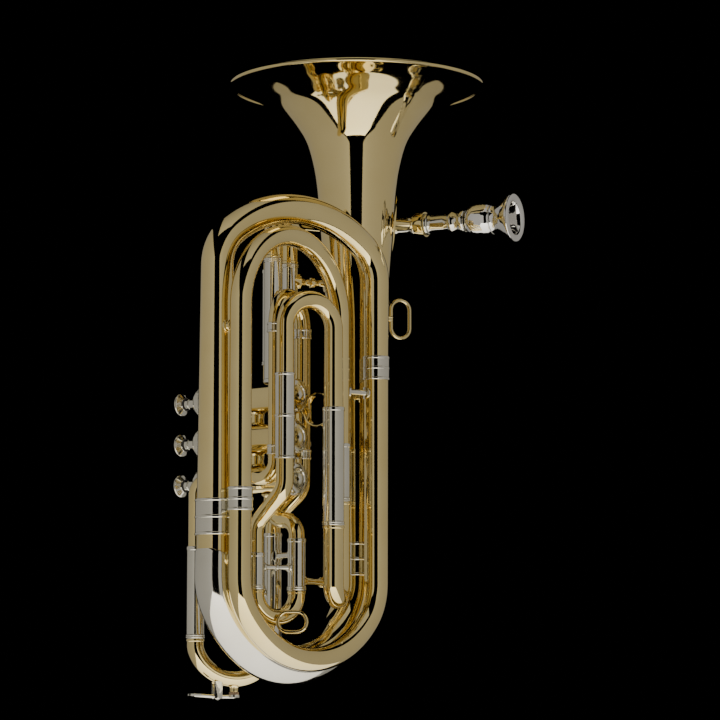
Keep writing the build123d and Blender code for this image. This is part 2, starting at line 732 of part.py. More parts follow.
def second_slide_sleeves():
    near, far = SECOND_PORTS
    first = (valve_point(1, near, 9.0), valve_point(1, near, SECOND_SLEEVE_END))
    second = (valve_point(1, far, 9.0), valve_point(1, far, SECOND_SLEEVE_END))
    brace = (valve_point(1, near, 27), valve_point(1, far, 27))
    return sleeve_pair(first, second, VALVE_TUBE_RADIUS, brace) - casing_solid(1)


def second_slide_crook():
    near, far = SECOND_PORTS
    left = valve_point(1, near, SECOND_CROOK_START)
    right = valve_point(1, far, SECOND_CROOK_START)
    crown = valve_point(1, (near + far) / 2, SECOND_CROOK_START + (far - near) / 2)
    bow = [ThreePointArc(left, crown, right)]
    joint = SECOND_SLEEVE_END + 0.4
    return crook(valve_point(1, near, 14.5), valve_point(1, near, joint), bow,
                 valve_point(1, far, joint), valve_point(1, far, 14.5), VALVE_TUBE_RADIUS)


# ---------------------------------------------------------------- third valve loop

def third_valve_loop():
    port = valve_point(2, THIRD_LEFT_ALONG)
    turn = valve_point(2, THIRD_LEFT_ALONG, -25.0)
    low_a = at(THIRD_LOOP_A, VALVE_HEIGHTS[2])
    top_a = at(THIRD_LOOP_A, THIRD_LOOP_TANGENT)
    top_c = at(THIRD_LOOP_C, THIRD_LOOP_TANGENT)
    edges = bent_edges([port, turn, low_a, top_a], [11, 13])
    edges += arch_edges(top_a, top_c, 40, 12)
    corners = [top_c, at(THIRD_LOOP_C, 203), at(THIRD_LEG_D, 178), at(THIRD_LEG_D, 158)]
    edges += bent_edges(corners, [18, 18])
    body = swept(edges, VALVE_TUBE_RADIUS) - swept(edges, VALVE_TUBE_RADIUS - TUBE_WALL)
    return body - casing_solid(2)


def third_slide_sleeves():
    first = (at(THIRD_LEG_D, THIRD_SLEEVE_BOTTOM), at(THIRD_LEG_D, THIRD_SLEEVE_TOP_D))
    second = (at(THIRD_LEG_G, THIRD_SLEEVE_BOTTOM), at(THIRD_LEG_G, THIRD_SLEEVE_TOP_G))
    return sleeve_pair(first, second, VALVE_TUBE_RADIUS, (at(THIRD_LEG_D, 120), at(THIRD_LEG_G, 120)))


def third_crook_edges():
    left = at(THIRD_LEG_D, THIRD_CROOK_TANGENT)
    right = at(THIRD_LEG_G, THIRD_CROOK_TANGENT)
    return arch_edges(left, right, THIRD_CROOK_RISE, 16.0, up=-1.0)


def third_slide_crook():
    joint = THIRD_SLEEVE_BOTTOM - 0.4
    body = crook(at(THIRD_LEG_D, THIRD_LEG_TOP), at(THIRD_LEG_D, joint), third_crook_edges(),
                 at(THIRD_LEG_G, joint), at(THIRD_LEG_G, THIRD_LEG_TOP), VALVE_TUBE_RADIUS)
    nozzle = rod(crook_point(0, 4), crook_point(0, -11), 3.4)
    bore = swept(third_crook_edges(), VALVE_TUBE_RADIUS - TUBE_WALL)
    body += nozzle - bore
    return body - rod(crook_point(0, 2), crook_point(0, -14), 1.9)


def third_return_tube():
    turn = valve_point(2, THIRD_RETURN_ALONG, -THIRD_RETURN_REACH)
    port = valve_point(2, THIRD_RETURN_ALONG)
    low = at(THIRD_LEG_G, 148)
    corner = at(THIRD_LEG_G, VALVE_HEIGHTS[2])
    edges = bent_edges([low, corner, turn, port], [12.5, 12])
    body = swept(edges, VALVE_TUBE_RADIUS) - swept(edges, VALVE_TUBE_RADIUS - TUBE_WALL)
    return body - casing_solid(2)


def valve_exit_tube():
    port = valve_point(2, EXIT_ALONG)
    plan = (port.X, port.Y)
    middle = 177.0
    edges = bent_edges([at(TUBE_E, 154), at(TUBE_E, middle), at(plan, middle), port], [13, 13])
    body = swept(edges, VALVE_TUBE_RADIUS) - swept(edges, VALVE_TUBE_RADIUS - TUBE_WALL)
    return body - casing_solid(2)


def branch_ferrules():
    bore = VALVE_TUBE_RADIUS + SOLDER_FIT
    body = banded_sleeve(at(TUBE_B, 223), at(TUBE_B, 292), 7.1 + SOLDER_FIT, wall=0.8, bead=0.5)
    for plan in (THIRD_LOOP_A, THIRD_LOOP_C):
        body += banded_sleeve(at(plan, 327), at(plan, 335), bore, wall=0.7, bead=0.5, bands=2)
        body += banded_sleeve(at(plan, 228), at(plan, 236), bore, wall=0.7, bead=0.5, bands=2)
    return body


# ---------------------------------------------------------------- leadpipe side

def leadpipe_edges():
    start = valve_point(0, LEADPIPE_ALONG)
    corner = valve_point(0, LEADPIPE_ALONG, LEADPIPE_REACH)
    plan = (corner.X, corner.Y)
    top = at(plan, LEADPIPE_HEIGHT)
    behind = at((-30.0, 44.5), LEADPIPE_HEIGHT)
    round_bell = blow_point(-22.0)
    return bent_edges([start, corner, top, behind, round_bell, blow_point(24.0)], [12.0, 18.0, 25.0, 22.0])


def leadpipe_filled():
    return swept(leadpipe_edges(), LEADPIPE_RADIUS)


def leadpipe():
    low = valve_point(0, LEADPIPE_ALONG, LEADPIPE_REACH, 30)
    high = valve_point(0, LEADPIPE_ALONG, LEADPIPE_REACH, 110)
    sleeve = rod(low, high, LEADPIPE_RADIUS + 0.65)
    body = leadpipe_filled() + sleeve
    return body - swept(leadpipe_edges(), LEADPIPE_RADIUS - TUBE_WALL) - casing_solid(0)


def receiver():
    start = blow_point(0)
    outer = [(RECEIVER_START, 7.2), (RECEIVER_START + 4, 7.6), (34, 7.8), (35, 8.8), (38, 9.2), (41.5, 8.4),
             (45, 9.2), (48, 8.8), (49, 7.8), (68, 7.9), (69, 9.0), (72, 9.4), (74, 8.6), (77, 8.6),
             (79, 9.6), (82, 9.6), (RECEIVER_END, 9.0)]
    inner = [(RECEIVER_END, 6.3), (60, 5.5), (60, 5.1), (24.5, 5.1),
             (24.5, LEADPIPE_RADIUS + SOLDER_FIT), (RECEIVER_START, LEADPIPE_RADIUS + SOLDER_FIT)]
    return turned(start, BLOW_AXIS, outer + inner)


def mouthpiece():
    start = blow_point(0)
    rim = MOUTHPIECE_RIM_RADIUS
    face = RIM_FACE
    outer = [(62, 5.45), (RECEIVER_END + 0.2, 6.2), (RECEIVER_END + 0.9, 8.0), (86, 11.2), (89, 13.2),
             (94, 14.2), (101, 14.2), (106, 13.0), (109, 12.0), (111.5, 11.8), (115, 13.6),
             (face - 7.5, rim - 3.1), (face - 4.5, rim - 1.2), (face - 3.0, rim - 0.3), (face - 1.5, rim),
             (face - 0.6, rim - 0.8), (face, rim - 3.2)]
    inner = [(face - 0.4, rim - 5.6), (face - 2.0, rim - 7.0), (face - 6.0, 12.2), (face - 12.0, 10.6),
             (109, 7.4), (105, 4.6), (102, 3.3), (98, 3.3), (62, 4.6)]
    return turned(start, BLOW_AXIS, outer + inner)


# ---------------------------------------------------------------- braces and rings

def saddle_post(start, end, bar_radius, tube_1, tube_2, foot_radius=5.0):
    """Brace between two tubes: a bar with a thin foot fitted to each tube."""
    axis_1, radius_1 = tube_1
    axis_2, radius_2 = tube_2
    tall = Vector(0, 0, 20)
    bar = rod(start, end, bar_radius)
    wide = rod(start, end, foot_radius)
    foot_1 = wide & rod(axis_1 - tall, axis_1 + tall, radius_1 + 1.2)
    foot_2 = wide & rod(axis_2 - tall, axis_2 + tall, radius_2 + 1.2)
    body = bar + foot_1 + foot_2
    return body


def bell_branch_posts(bell_body):
    body = None
    for height, bell_radius in ((338.0, 25.4), (214.0, 21.2)):
        start = at(BELL_AXIS, height)
        end = at(TUBE_R, height)
        tube_radius = 10.5 if height > SECOND_JOINT else 10.2
        post = saddle_post(start, end, 3.2, (start, bell_radius), (end, tube_radius))
        body = post if body is None else body + post
    return body - bell_body - first_branch_filled() - second_bow_filled()


def branch_posts():
    body = None
    for height in (325.0, 142.0):
        start = at(TUBE_1, height)
        end = at(TUBE_2, height)
        bar = rod(start, end, 4.0)
        body = bar if body is None else body + bar
    cut = first_branch_filled() + large_bow_filled()
    return body - cut - second_branch_filled() - second_bow_filled()


def stay_rods():
    near, far = at(TUBE_T2, 283), at(TUBE_R, 283)
    upper = saddle_post(near, far, 2.4, (near, 8.1), (far, 10.3))
    outer = VALVE_TUBE_RADIUS + SLIDE_FIT + SLEEVE_WALL
    lower = saddle_post(at(THIRD_LEG_D, 149), at(TUBE_E, 149), 2.4, (at(THIRD_LEG_D, 149), outer),
                        (at(TUBE_E, 149), outer))
    lower -= rod(at(THIRD_LEG_D, 100), at(THIRD_LEG_D, 164), outer)
    lower -= rod(at(TUBE_E, 110), at(TUBE_E, 160), outer)
    return (upper - second_branch_filled() - second_bow_filled()) + lower


def turned_stay(start, end, foot_1, foot_2, end_radius):
    """Turned brace with a swelling in the middle; feet are distances from each end."""
    length = (end - start).length
    run = (end - start).normalized()
    middle = (foot_1 + length - foot_2) / 2
    span = (length - foot_1 - foot_2) / 2
    profile = [(0, 0), (0, end_radius), (foot_1 + 1.2, end_radius), (foot_1 + 2.6, 3.4), (middle - span * 0.45, 2.4),
               (middle - 2.4, 3.0), (middle - 1.6, 4.4), (middle + 1.6, 4.4), (middle + 2.4, 3.0),
               (middle + span * 0.45, 2.4), (length - foot_2 - 2.6, 3.4), (length - foot_2 - 1.2, end_radius),
               (length, end_radius), (length, 0)]
    return turned(start, run, profile)


def bell_stays(bell_body):
    outer = VALVE_TUBE_RADIUS + SLIDE_FIT + SLEEVE_WALL
    upper = turned_stay(at(BELL_AXIS, 378), at(first_j(), 378), 27.6, outer, 7.0)
    upper -= rod(at(first_j(), 340), at(first_j(), 400), outer)
    upper -= bell_body
    lower = turned_stay(at(BELL_AXIS, 128), at(TUBE_E, 128), 18.6, outer, 4.8)
    lower -= rod(at(TUBE_E, 100), at(TUBE_E, 150), outer)
    lower -= large_bow_filled()
    lower &= rod(at(BELL_AXIS, 119), at(BELL_AXIS, 134.6), 200)
    return upper + lower


def leadpipe_bracket(bell_body):
    centre = blow_point(41.5)
    radial = Vector(centre.X, centre.Y, 0).normalized()
    axis_point = Vector(0, 0, centre.Z)
    frame = Plane(origin=axis_point, x_dir=Vector(0, 0, 1), z_dir=radial)
    tip = 26.0
    belly = 9.0
    front = ThreePointArc((-tip, 0), (0, belly), (tip, 0))
    back = ThreePointArc((tip, 0), (0, -belly), (-tip, 0))
    lens = extrude(frame * make_face(Wire([front, back])), amount=60)
    flange = (bell_filled(1.3) & lens) - bell_body
    stem = rod(axis_point, centre, 3.0) + rod(centre - radial * 11.5, centre, 5.0)
    collar = rod(blow_point(41.5 - 4), blow_point(41.5 + 4), 10.6)
    stem += collar
    stem -= bell_body
    stem -= receiver_outline()
    return flange + stem


def receiver_outline():
    outer = [(RECEIVER_START, 0), (RECEIVER_START, 7.2), (RECEIVER_START + 4, 7.6), (34, 7.8), (35, 8.8),
             (38, 9.2), (41.5, 8.4), (45, 9.2), (48, 8.8), (49, 7.8), (68, 7.9), (68, 0)]
    return turned(blow_point(0), BLOW_AXIS, outer)


def strap_ring(bell_body):
    height = 352.0
    radial = Vector(0.967, -0.254, 0)
    centre = at((38.6, -10.1), height)
    ring = oval_ring(centre, radial, Vector(0, 0, 1), 17.0, 32.0, 1.6)
    foot = rod(at(BELL_AXIS, height), centre - radial * 8.0, 2.6)
    pad = rod(at(BELL_AXIS, height), at(BELL_AXIS, height) + radial * 40, 6.0) & bell_filled(1.3)
    return (ring + foot + pad) - bell_body


def thumb_ring():
    height = 267.0
    base = at(VALVE_BASE, height)
    centre = base + VALVE_SIDE * 19.5 - VALVE_AXIS * 5.5
    half = VALVE_SIDE * 3.0
    band = rod(centre - half, centre + half, 14.0) - rod(centre - half * 2, centre + half * 2, 12.6)
    c_axis = at(THIRD_LOOP_C, height)
    foot = rod(centre + VALVE_AXIS * 12.7, c_axis, 3.0)
    clip = rod(at(THIRD_LOOP_C, height - 6), at(THIRD_LOOP_C, height + 6), VALVE_TUBE_RADIUS + 1.0)
    body = band + foot + clip
    return body - rod(at(THIRD_LOOP_C, height - 30), at(THIRD_LOOP_C, height + 30), VALVE_TUBE_RADIUS)


# ---------------------------------------------------------------- water key

def crook_run():
    return Vector(THIRD_LEG_G[0] - THIRD_LEG_D[0], THIRD_LEG_G[1] - THIRD_LEG_D[1], 0).normalized()


def crook_point(along, up=0.0, side=0.0):
    """Point by the lowest part of the third slide crook."""
    plan = ((THIRD_LEG_D[0] + THIRD_LEG_G[0]) / 2, (THIRD_LEG_D[1] + THIRD_LEG_G[1]) / 2)
    run = crook_run()
    across = Vector(-run.Y, run.X, 0)
    lowest = THIRD_CROOK_TANGENT - THIRD_CROOK_RISE
    return at(plan, lowest + up) + run * along + across * side


def water_key_lever():
    cup = rod(crook_point(0, -13.1), crook_point(0, -15.4), 4.6)
    arm_1 = rod(crook_point(0, -14.6), crook_point(14, -14.6), 1.5)
    barrel = rod(crook_point(14, -14.6, -2.4), crook_point(14, -14.6, 2.4), 2.7)
    arm_2 = rod(crook_point(14, -14.6), crook_point(33, -13.2), 1.5)
    frame = Plane(origin=crook_point(33, -13.2), x_dir=crook_run(), z_dir=Vector(0, 0, 1))
    tab = frame * Box(10, 8, 1.6)
    body = cup + arm_1 + barrel + arm_2 + tab
    return body - rod(crook_point(14, -14.6, -5), crook_point(14, -14.6, 5), 1.25)


def water_key_cork():
    return rod(crook_point(0, -11.0), crook_point(0, -13.1), 4.0)


def water_key_saddle():
    body = rod(crook_point(14, -14.6, -5.4), crook_point(14, -14.6, 5.4), 1.2)
    for side in (-4.4, 4.4):
        frame = Plane(origin=crook_point(14, -9.2, side), x_dir=crook_run(), z_dir=Vector(0, 0, 1))
        body += frame * Box(6.5, 1.6, 14.0)
    return body - swept(third_crook_edges(), VALVE_TUBE_RADIUS + BOW_STEP)


def water_key_spring():
    run = crook_run()
    across = Vector(-run.Y, run.X, 0)
    plane = Plane(origin=crook_point(14, -14.6, 2.6), z_dir=across)
    path = plane * Helix(pitch=0.42, height=0.84, radius=2.0)
    section = Plane(origin=path @ 0, z_dir=path % 0) * Circle(0.18)
    return sweep(section, path=path, is_frenet=True)


# ---------------------------------------------------------------- files

def save(name, shape):
    export_step(shape, f"parts/{name}.step")
    print(name, len(shape.solids()), round(shape.volume, 1), flush=True)


def main():
    bell_body = bell_filled()
    save("bell", bell())
    save("bell_rim_bead", bead_solid())
    save("bell_ferrule", bell_ferrule())
    save("large_bottom_bow", large_bottom_bow())
    save("bow_guard", bow_guard())
    save("large_ferrule", large_ferrule())
    save("first_branch", first_branch())
    save("second_ferrule", second_ferrule())
    save("second_bottom_bow", second_bottom_bow())
    save("third_ferrule", third_ferrule())
    save("second_branch", second_branch())
    save("main_slide_sleeves", main_slide_sleeves())
    save("main_slide_crook", main_slide_crook())
    save("third_branch", third_branch())
    save("return_slide_sleeves", return_slide_sleeves())
    save("return_slide_crook", return_slide_crook())
    save("valve_exit_tube", valve_exit_tube())
    save("third_valve_loop", third_valve_loop())
    save("branch_ferrules", branch_ferrules())
    save("third_slide_sleeves", third_slide_sleeves())
    save("third_slide_crook", third_slide_crook())
    save("third_return_tube", third_return_tube())
    save("first_slide_sleeves", first_slide_sleeves())
    save("first_slide_crook", first_slide_crook())
    save("first_valve_elbow", first_valve_elbow())
    save("second_slide_sleeves", second_slide_sleeves())
    save("second_slide_crook", second_slide_crook())
    save("valve_knuckles", knuckle(0, 1) + knuckle(1, 2))
    save("bottom_caps", bottom_cap(0) + bottom_cap(1) + bottom_cap(2))
    save("top_caps", top_cap(0) + top_cap(1) + top_cap(2))
    save("valve_guides", valve_guide(0) + valve_guide(1) + valve_guide(2))
    for index, name in enumerate(("first", "second", "third")):
        save(f"{name}_casing", casing(index))
        save(f"{name}_piston", piston(index))
        save(f"{name}_piston_spring", valve_spring(index))
        save(f"{name}_button", valve_button(index))
        save(f"{name}_button_felt", valve_felt(index))
    save("leadpipe", leadpipe())
    save("receiver", receiver())
    save("mouthpiece", mouthpiece())
    save("bell_branch_posts", bell_branch_posts(bell_body))
    save("branch_posts", branch_posts())
    save("stay_rods", stay_rods())
    save("bell_stays", bell_stays(bell_body))
    save("leadpipe_bracket", leadpipe_bracket(bell_body))
    save("strap_ring", strap_ring(bell_body))
    save("thumb_ring", thumb_ring())
    save("water_key_lever", water_key_lever())
    save("water_key_cork", water_key_cork())
    save("water_key_saddle", water_key_saddle())
    save("water_key_spring", water_key_spring())


main()
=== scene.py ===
import logging
from dataclasses import dataclass, field
from enum import Enum
from math import asin, atan2, ceil, cos, degrees, pi, radians, sin, sqrt, tan

import bmesh
import bpy
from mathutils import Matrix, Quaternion, Vector


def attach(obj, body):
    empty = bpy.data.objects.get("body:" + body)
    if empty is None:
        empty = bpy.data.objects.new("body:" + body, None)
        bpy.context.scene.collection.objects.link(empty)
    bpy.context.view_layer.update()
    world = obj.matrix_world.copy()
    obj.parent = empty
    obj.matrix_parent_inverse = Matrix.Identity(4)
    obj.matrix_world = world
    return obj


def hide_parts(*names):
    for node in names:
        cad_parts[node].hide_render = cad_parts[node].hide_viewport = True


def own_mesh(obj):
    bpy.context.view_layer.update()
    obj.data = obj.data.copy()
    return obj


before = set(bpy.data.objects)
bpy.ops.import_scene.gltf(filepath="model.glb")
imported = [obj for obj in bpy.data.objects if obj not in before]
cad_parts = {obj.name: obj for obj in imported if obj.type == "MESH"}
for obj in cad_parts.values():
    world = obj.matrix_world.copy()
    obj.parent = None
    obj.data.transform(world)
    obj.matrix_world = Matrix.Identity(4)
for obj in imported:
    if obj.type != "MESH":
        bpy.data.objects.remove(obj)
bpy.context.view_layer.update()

LOG = logging.getLogger("euphonium")
MM = 0.001
RIM_HEIGHT = 549.0
UP = Vector((0.0, 0.0, 1.0))
Plan = tuple[float, float]
Run = list[tuple[Vector, Vector]]
Circle = tuple[Vector, Vector, float]
Profile = list[tuple[float, float]]
Ring = list[bmesh.types.BMVert]
Colour = tuple[float, float, float]
Material = bpy.types.Material
Node = bpy.types.Node
Object = bpy.types.Object
Socket = bpy.types.NodeSocket
Tree = bpy.types.NodeTree

BELL_AXIS: Plan = (0.0, 0.0)
TUBE_1: Plan = (-169.0, -37.0)
TUBE_R: Plan = (-9.5, -38.0)
TUBE_2: Plan = (-165.7, -64.8)
TUBE_T2: Plan = (-45.3, -36.1)
TUBE_T1: Plan = (-63.7, -51.5)
TUBE_B: Plan = (-109.4, -47.5)
TUBE_D1: Plan = (-119.5, -22.6)
TUBE_E: Plan = (-81.9, -26.7)
LOOP_A: Plan = (-104.1, -28.3)
LOOP_C: Plan = (-61.6, -6.9)
LEG_D: Plan = (-79.0, 9.3)
LEG_G: Plan = (-138.8, 33.0)
VALVE_BASE: Plan = (-81.0, -28.0)
VALVE_AXIS = Vector((-0.2588, 0.9659, 0.0))
VALVE_SIDE = Vector((0.9659, 0.2588, 0.0))
VALVE_HEIGHTS = (278.0, 244.0, 210.0)
VALVE_NAMES = ("first", "second", "third")
BLOW_POINT: Plan = (36.2, 18.2)
BLOW_AXIS = Vector((0.449, -0.8935, 0.0))
BLOW_HEIGHT = 433.0
BELL_STEM = 18.6
MAIN_BORE = 7.9
TUBE = 6.4
WALL = 0.7


class Slot(Enum):
    """Material slots of the record."""

    BRASS = "lacquered_brass"
    NICKEL = "nickel_silver"
    SILVER = "silver_plate"
    PISTON = "piston_metal"
    SPRING = "spring_steel"
    GUIDE = "guide_plastic"
    FELT = "felt"
    CORK = "cork"


# ---------------------------------------------------------------- places and routes

def at(plan: Plan, height: float) -> Vector:
    """Point in millimetres from a plan position.

    Args:
        plan: X and Y of the point.
        height: Height above the level that lies RIM_HEIGHT below the bell mouth.

    Returns:
        The point, with its origin at the centre of the bell mouth.
    """
    return Vector((plan[0], plan[1], height - RIM_HEIGHT))


def in_valve(valve: int, along: float, side: float = 0.0, up: float = 0.0) -> Vector:
    """Point in the valve block.

    Args:
        valve: 0, 1 or 2, from the top.
        along: Distance from the bottom cap towards the button.
        side: Distance to the right of the valve axis.
        up: Distance above it.

    Returns:
        The point in millimetres.
    """
    return at(VALVE_BASE, VALVE_HEIGHTS[valve] + up) + VALVE_AXIS * along + VALVE_SIDE * side


def plan_of(point: Vector) -> Plan:
    """X and Y of a point."""
    return (point.x, point.y)


def on_blow(distance: float) -> Vector:
    """Point on the line of the receiver and mouthpiece, in millimetres."""
    return at(BLOW_POINT, BLOW_HEIGHT) + BLOW_AXIS * distance


def around(side: Vector, top: Vector, angle: float) -> Vector:
    """Direction at an angle from one side towards the top."""
    return side * cos(angle) + top * sin(angle)


def straight(start: Vector, end: Vector) -> Run:
    """Run between two points."""
    heading = (end - start).normalized()
    return [(start, heading), (end, heading)]


def arc_run(start: Vector, centre: Vector, heading: Vector, angle: float, step: float = 3.0) -> Run:
    """Stations along a circular arc.

    Args:
        start: First point.
        centre: Centre of the arc.
        heading: Direction of travel at the start.
        angle: Angle turned, in radians.
        step: Largest angle between stations, in degrees.

    Returns:
        Points with their directions.
    """
    arm = start - centre
    axis = arm.cross(heading).normalized()
    count = max(2, ceil(degrees(angle) / step))
    turns = [Quaternion(axis, angle * index / count) for index in range(count + 1)]
    return [(centre + turn @ arm, (turn @ heading).normalized()) for turn in turns]


def corner_run(points: list[Vector], radii: list[float]) -> Run:
    """Straight runs joined by round bends.

    Args:
        points: Corners of the route, with its two ends.
        radii: Bend radius at each inner corner.

    Returns:
        Stations along the route.
    """
    run: Run = [(points[0], (points[1] - points[0]).normalized())]
    for before, corner, after, radius in zip(points, points[1:], points[2:], radii):
        into = (corner - before).normalized()
        out = (after - corner).normalized()
        turn = into.angle(out)
        start = corner - into * (radius * tan(turn / 2))
        centre = corner + (out - into).normalized() * (radius / cos(turn / 2))
        run += arc_run(start, centre, into, turn)
    run.append((points[-1], (points[-1] - points[-2]).normalized()))
    return run


def arch_run(left: Vector, right: Vector, rise: float, end_radius: float, up: float = 1.0) -> Run:
    """Bow between two upright runs, with tight ends and a flatter crown.

    Args:
        left: Start of the bow.
        right: End of the bow, level with the start.
        rise: Height of the crown; half the span or more gives a half circle.
        end_radius: Radius of the two ends.
        up: 1 for a bow over the top, -1 for one underneath.

    Returns:
        Stations along the bow.
    """
    across = (right - left).normalized()
    lift = UP * up
    half = (right - left).length / 2
    middle = (left + right) / 2
    if rise >= half - 0.5:
        return arc_run(left, middle, lift, pi)
    inset = half - end_radius
    drop = (inset ** 2 - (rise - end_radius) ** 2) / (2 * (rise - end_radius))
    bend = atan2(drop, inset)
    first = arc_run(left, middle - across * inset, lift, bend)
    crown = arc_run(first[-1][0], middle - lift * drop, first[-1][1], pi - 2 * bend, 2.0)
    last = arc_run(crown[-1][0], middle + across * inset, crown[-1][1], bend)
    return first + crown[1:] + last[1:]


def joined(*parts: Run) -> Run:
    """One run from several, with doubled stations dropped.

    Args:
        parts: Runs in order, each starting where the last one ends.

    Returns:
        The whole run.
    """
    run: Run = []
    for station in (station for part in parts for station in part):
        if not run or (station[0] - run[-1][0]).length > 0.02:
            run.append(station)
    return run


def divided(run: Run, gap: float = 8.0) -> Run:
    """Run with its long straight stretches divided.

    Args:
        run: Stations in order.
        gap: Largest distance left between two stations.

    Returns:
        The run with stations added.
    """
    dense: Run = [run[0]]
    for (start, _), (end, heading) in zip(run, run[1:]):
        steps = max(1, ceil((end - start).length / gap))
        between = (end - start).normalized()
        dense += [(start.lerp(end, step / steps), between) for step in range(1, steps)]
        dense.append((end, heading))
    return dense


def distances(run: Run) -> list[float]:
    """Distance of each station from the start.

    Args:
        run: Stations in order.

    Returns:
        One distance for each station.
    """
    gone = [0.0]
    for (before, _), (after, _) in zip(run, run[1:]):
        gone.append(gone[-1] + (after - before).length)
    return gone


def radius_at(radii: Profile, length: float) -> float:
    """Radius at a distance, read between the given pairs.

    Args:
        radii: (distance, radius) pairs in order.
        length: Distance along the tube.

    Returns:
        The radius there.
    """
    for (from_length, from_radius), (to_length, to_radius) in zip(radii, radii[1:]):
        if length <= to_length:
            share = max(0.0, (length - from_length) / max(1e-6, to_length - from_length))
            return from_radius + (to_radius - from_radius) * share
    return radii[-1][1]


# ---------------------------------------------------------------- profiles

def softened(profile: Profile, radius: float, closed: bool = True) -> Profile:
    """Profile with its corners rounded.

    Args:
        profile: (distance, radius) pairs.
        radius: Size of the rounding, limited by the neighbouring sides.
        closed: Whether the last point joins the first.

    Returns:
        A longer profile with small curves at its corners.
    """
    count = len(profile)
    result: Profile = []
    for index, corner in enumerate(profile):
        if not closed and index in (0, count - 1):
            result.append(corner)
            continue
        point = Vector(corner)
        before = Vector(profile[index - 1])
        after = Vector(profile[(index + 1) % count])
        size = min(radius, 0.4 * (before - point).length, 0.4 * (after - point).length)
        start = point + (before - point).normalized() * size
        end = point + (after - point).normalized() * size
        for share in (0.0, 0.33, 0.67, 1.0):
            mixed = start * (1 - share) ** 2 + point * (2 * share * (1 - share)) + end * share ** 2
            result.append((mixed.x, mixed.y))
    return result


def banded(length: float, bore: float, wall: float, bead: float, bands: int, width: float = 2.2) -> Profile:
    """Profile of a ferrule with raised, rounded bands.

    Args:
        length: Length of the ferrule.
        bore: Radius of its bore.
        wall: Wall thickness.
        bead: Height of the bands above the wall.
        bands: Number of bands.
        width: Width of a band.

    Returns:
        A closed profile.
    """
    profile: Profile = [(0.0, bore)]
    for index in range(bands):
        middle = width / 2 + (length - width) * index / max(1, bands - 1)
        for angle in (pi * step / 6 for step in range(7)):
            profile.append((middle - cos(angle) * width / 2, bore + wall + bead * sin(angle)))
    profile.append((length, bore))
    return profile


def sleeve_profile(length: float, bore: float, wall: float = 0.75) -> Profile:
    """Profile of an outer slide tube with a collar at each end.

    Args:
        length: Length of the tube.
        bore: Radius of its bore.
        wall: Wall thickness.

    Returns:
        A closed profile.
    """
    skin = bore + wall
    return [(0, bore), (0, skin + 0.5), (0.5, skin + 0.7), (1.2, skin + 0.7), (1.6, skin + 0.25),
            (2.0, skin + 0.6), (2.8, skin + 0.6), (3.2, skin), (length - 3.2, skin),
            (length - 2.8, skin + 0.4), (length - 0.6, skin + 0.45), (length, skin + 0.2), (length, bore)]


# ---------------------------------------------------------------- finishes

def added(tree: Tree, kind: str, values: dict[str | int, object],
          links: dict[str | int, Socket]) -> Node:
    """Put a node in a tree.

    Args:
        tree: Tree to add to.
        kind: Type of the node.
        values: Fixed values of its inputs.
        links: Sockets that feed its other inputs.

    Returns:
        The node.
    """
    node = tree.nodes.new(kind)
    for key, value in values.items():
        node.inputs[key].default_value = value
    for key, socket in links.items():
        tree.links.new(socket, node.inputs[key])
    return node


@dataclass(frozen=True)
class Finish:
    """Material with two mixed tones and a fine bump, placed by Object coordinates."""

    name: str
    light: Colour
    dark: Colour

    def build(self) -> Material:
        """Make the material.

        Returns:
            The node material.
        """
        material = bpy.data.materials.new(self.name)
        material.use_nodes = True
        tree = material.node_tree
        shader = tree.nodes["Principled BSDF"]
        place = tree.nodes.new("ShaderNodeTexCoord").outputs["Object"]
        share, height, strength, depth = self._surface(tree, shader, place)
        tone = added(tree, "ShaderNodeMix", {6: (*self.light, 1.0), 7: (*self.dark, 1.0)}, {0: share})
        tone.data_type = "RGBA"
        bump = added(tree, "ShaderNodeBump", {"Strength": strength, "Distance": depth}, {"Height": height})
        tree.links.new(tone.outputs[2], shader.inputs["Base Color"])
        tree.links.new(bump.outputs["Normal"], shader.inputs["Normal"])
        return material

    def _surface(self, tree: Tree, shader: Node, place: Socket
                 ) -> tuple[Socket, Socket, float, float]:
        """Set the gloss and give the patterns; each kind of finish has its own.

        Args:
            tree: Tree of the material.
            shader: Its surface shader.
            place: Object coordinates.

        Returns:
            Share of the dark tone, height of the bump, its strength and its depth.
        """
        raise NotImplementedError


@dataclass(frozen=True)
class MetalFinish(Finish):
    """Polished or brushed metal with a faint, uneven surface."""

    roughness: tuple[float, float]
    coat: float = 0.0
    grain_depth: float = 0.00002

    def _surface(self, tree: Tree, shader: Node, place: Socket
                 ) -> tuple[Socket, Socket, float, float]:
        """Clouded tone, uneven gloss and a fine grain.

        Args:
            tree: Tree of the material.
            shader: Its surface shader.
            place: Object coordinates.

        Returns:
            Share of the dark tone, height of the bump, its strength and its depth.
        """
        for label, value in (("Metallic", 1.0), ("Coat Weight", self.coat), ("Coat Roughness", 0.04)):
            shader.inputs[label].default_value = value
        cloud, spots, grain = (
            added(tree, "ShaderNodeTexNoise", {"Scale": scale, "Detail": detail},
                  {"Vector": place}).outputs["Fac"]
            for scale, detail in ((28.0, 4.0), (260.0, 3.0), (900.0, 2.0)))
        share, rough = (
            added(tree, "ShaderNodeMapRange",
                  {"From Min": low, "From Max": high, "To Min": first, "To Max": last},
                  {"Value": noise}).outputs["Result"]
            for noise, low, high, first, last in (
                (cloud, 0.35, 0.75, 0.0, 1.0), (spots, 0.3, 0.8, *self.roughness)))
        tree.links.new(rough, shader.inputs["Roughness"])
        return share, grain, 0.25, self.grain_depth


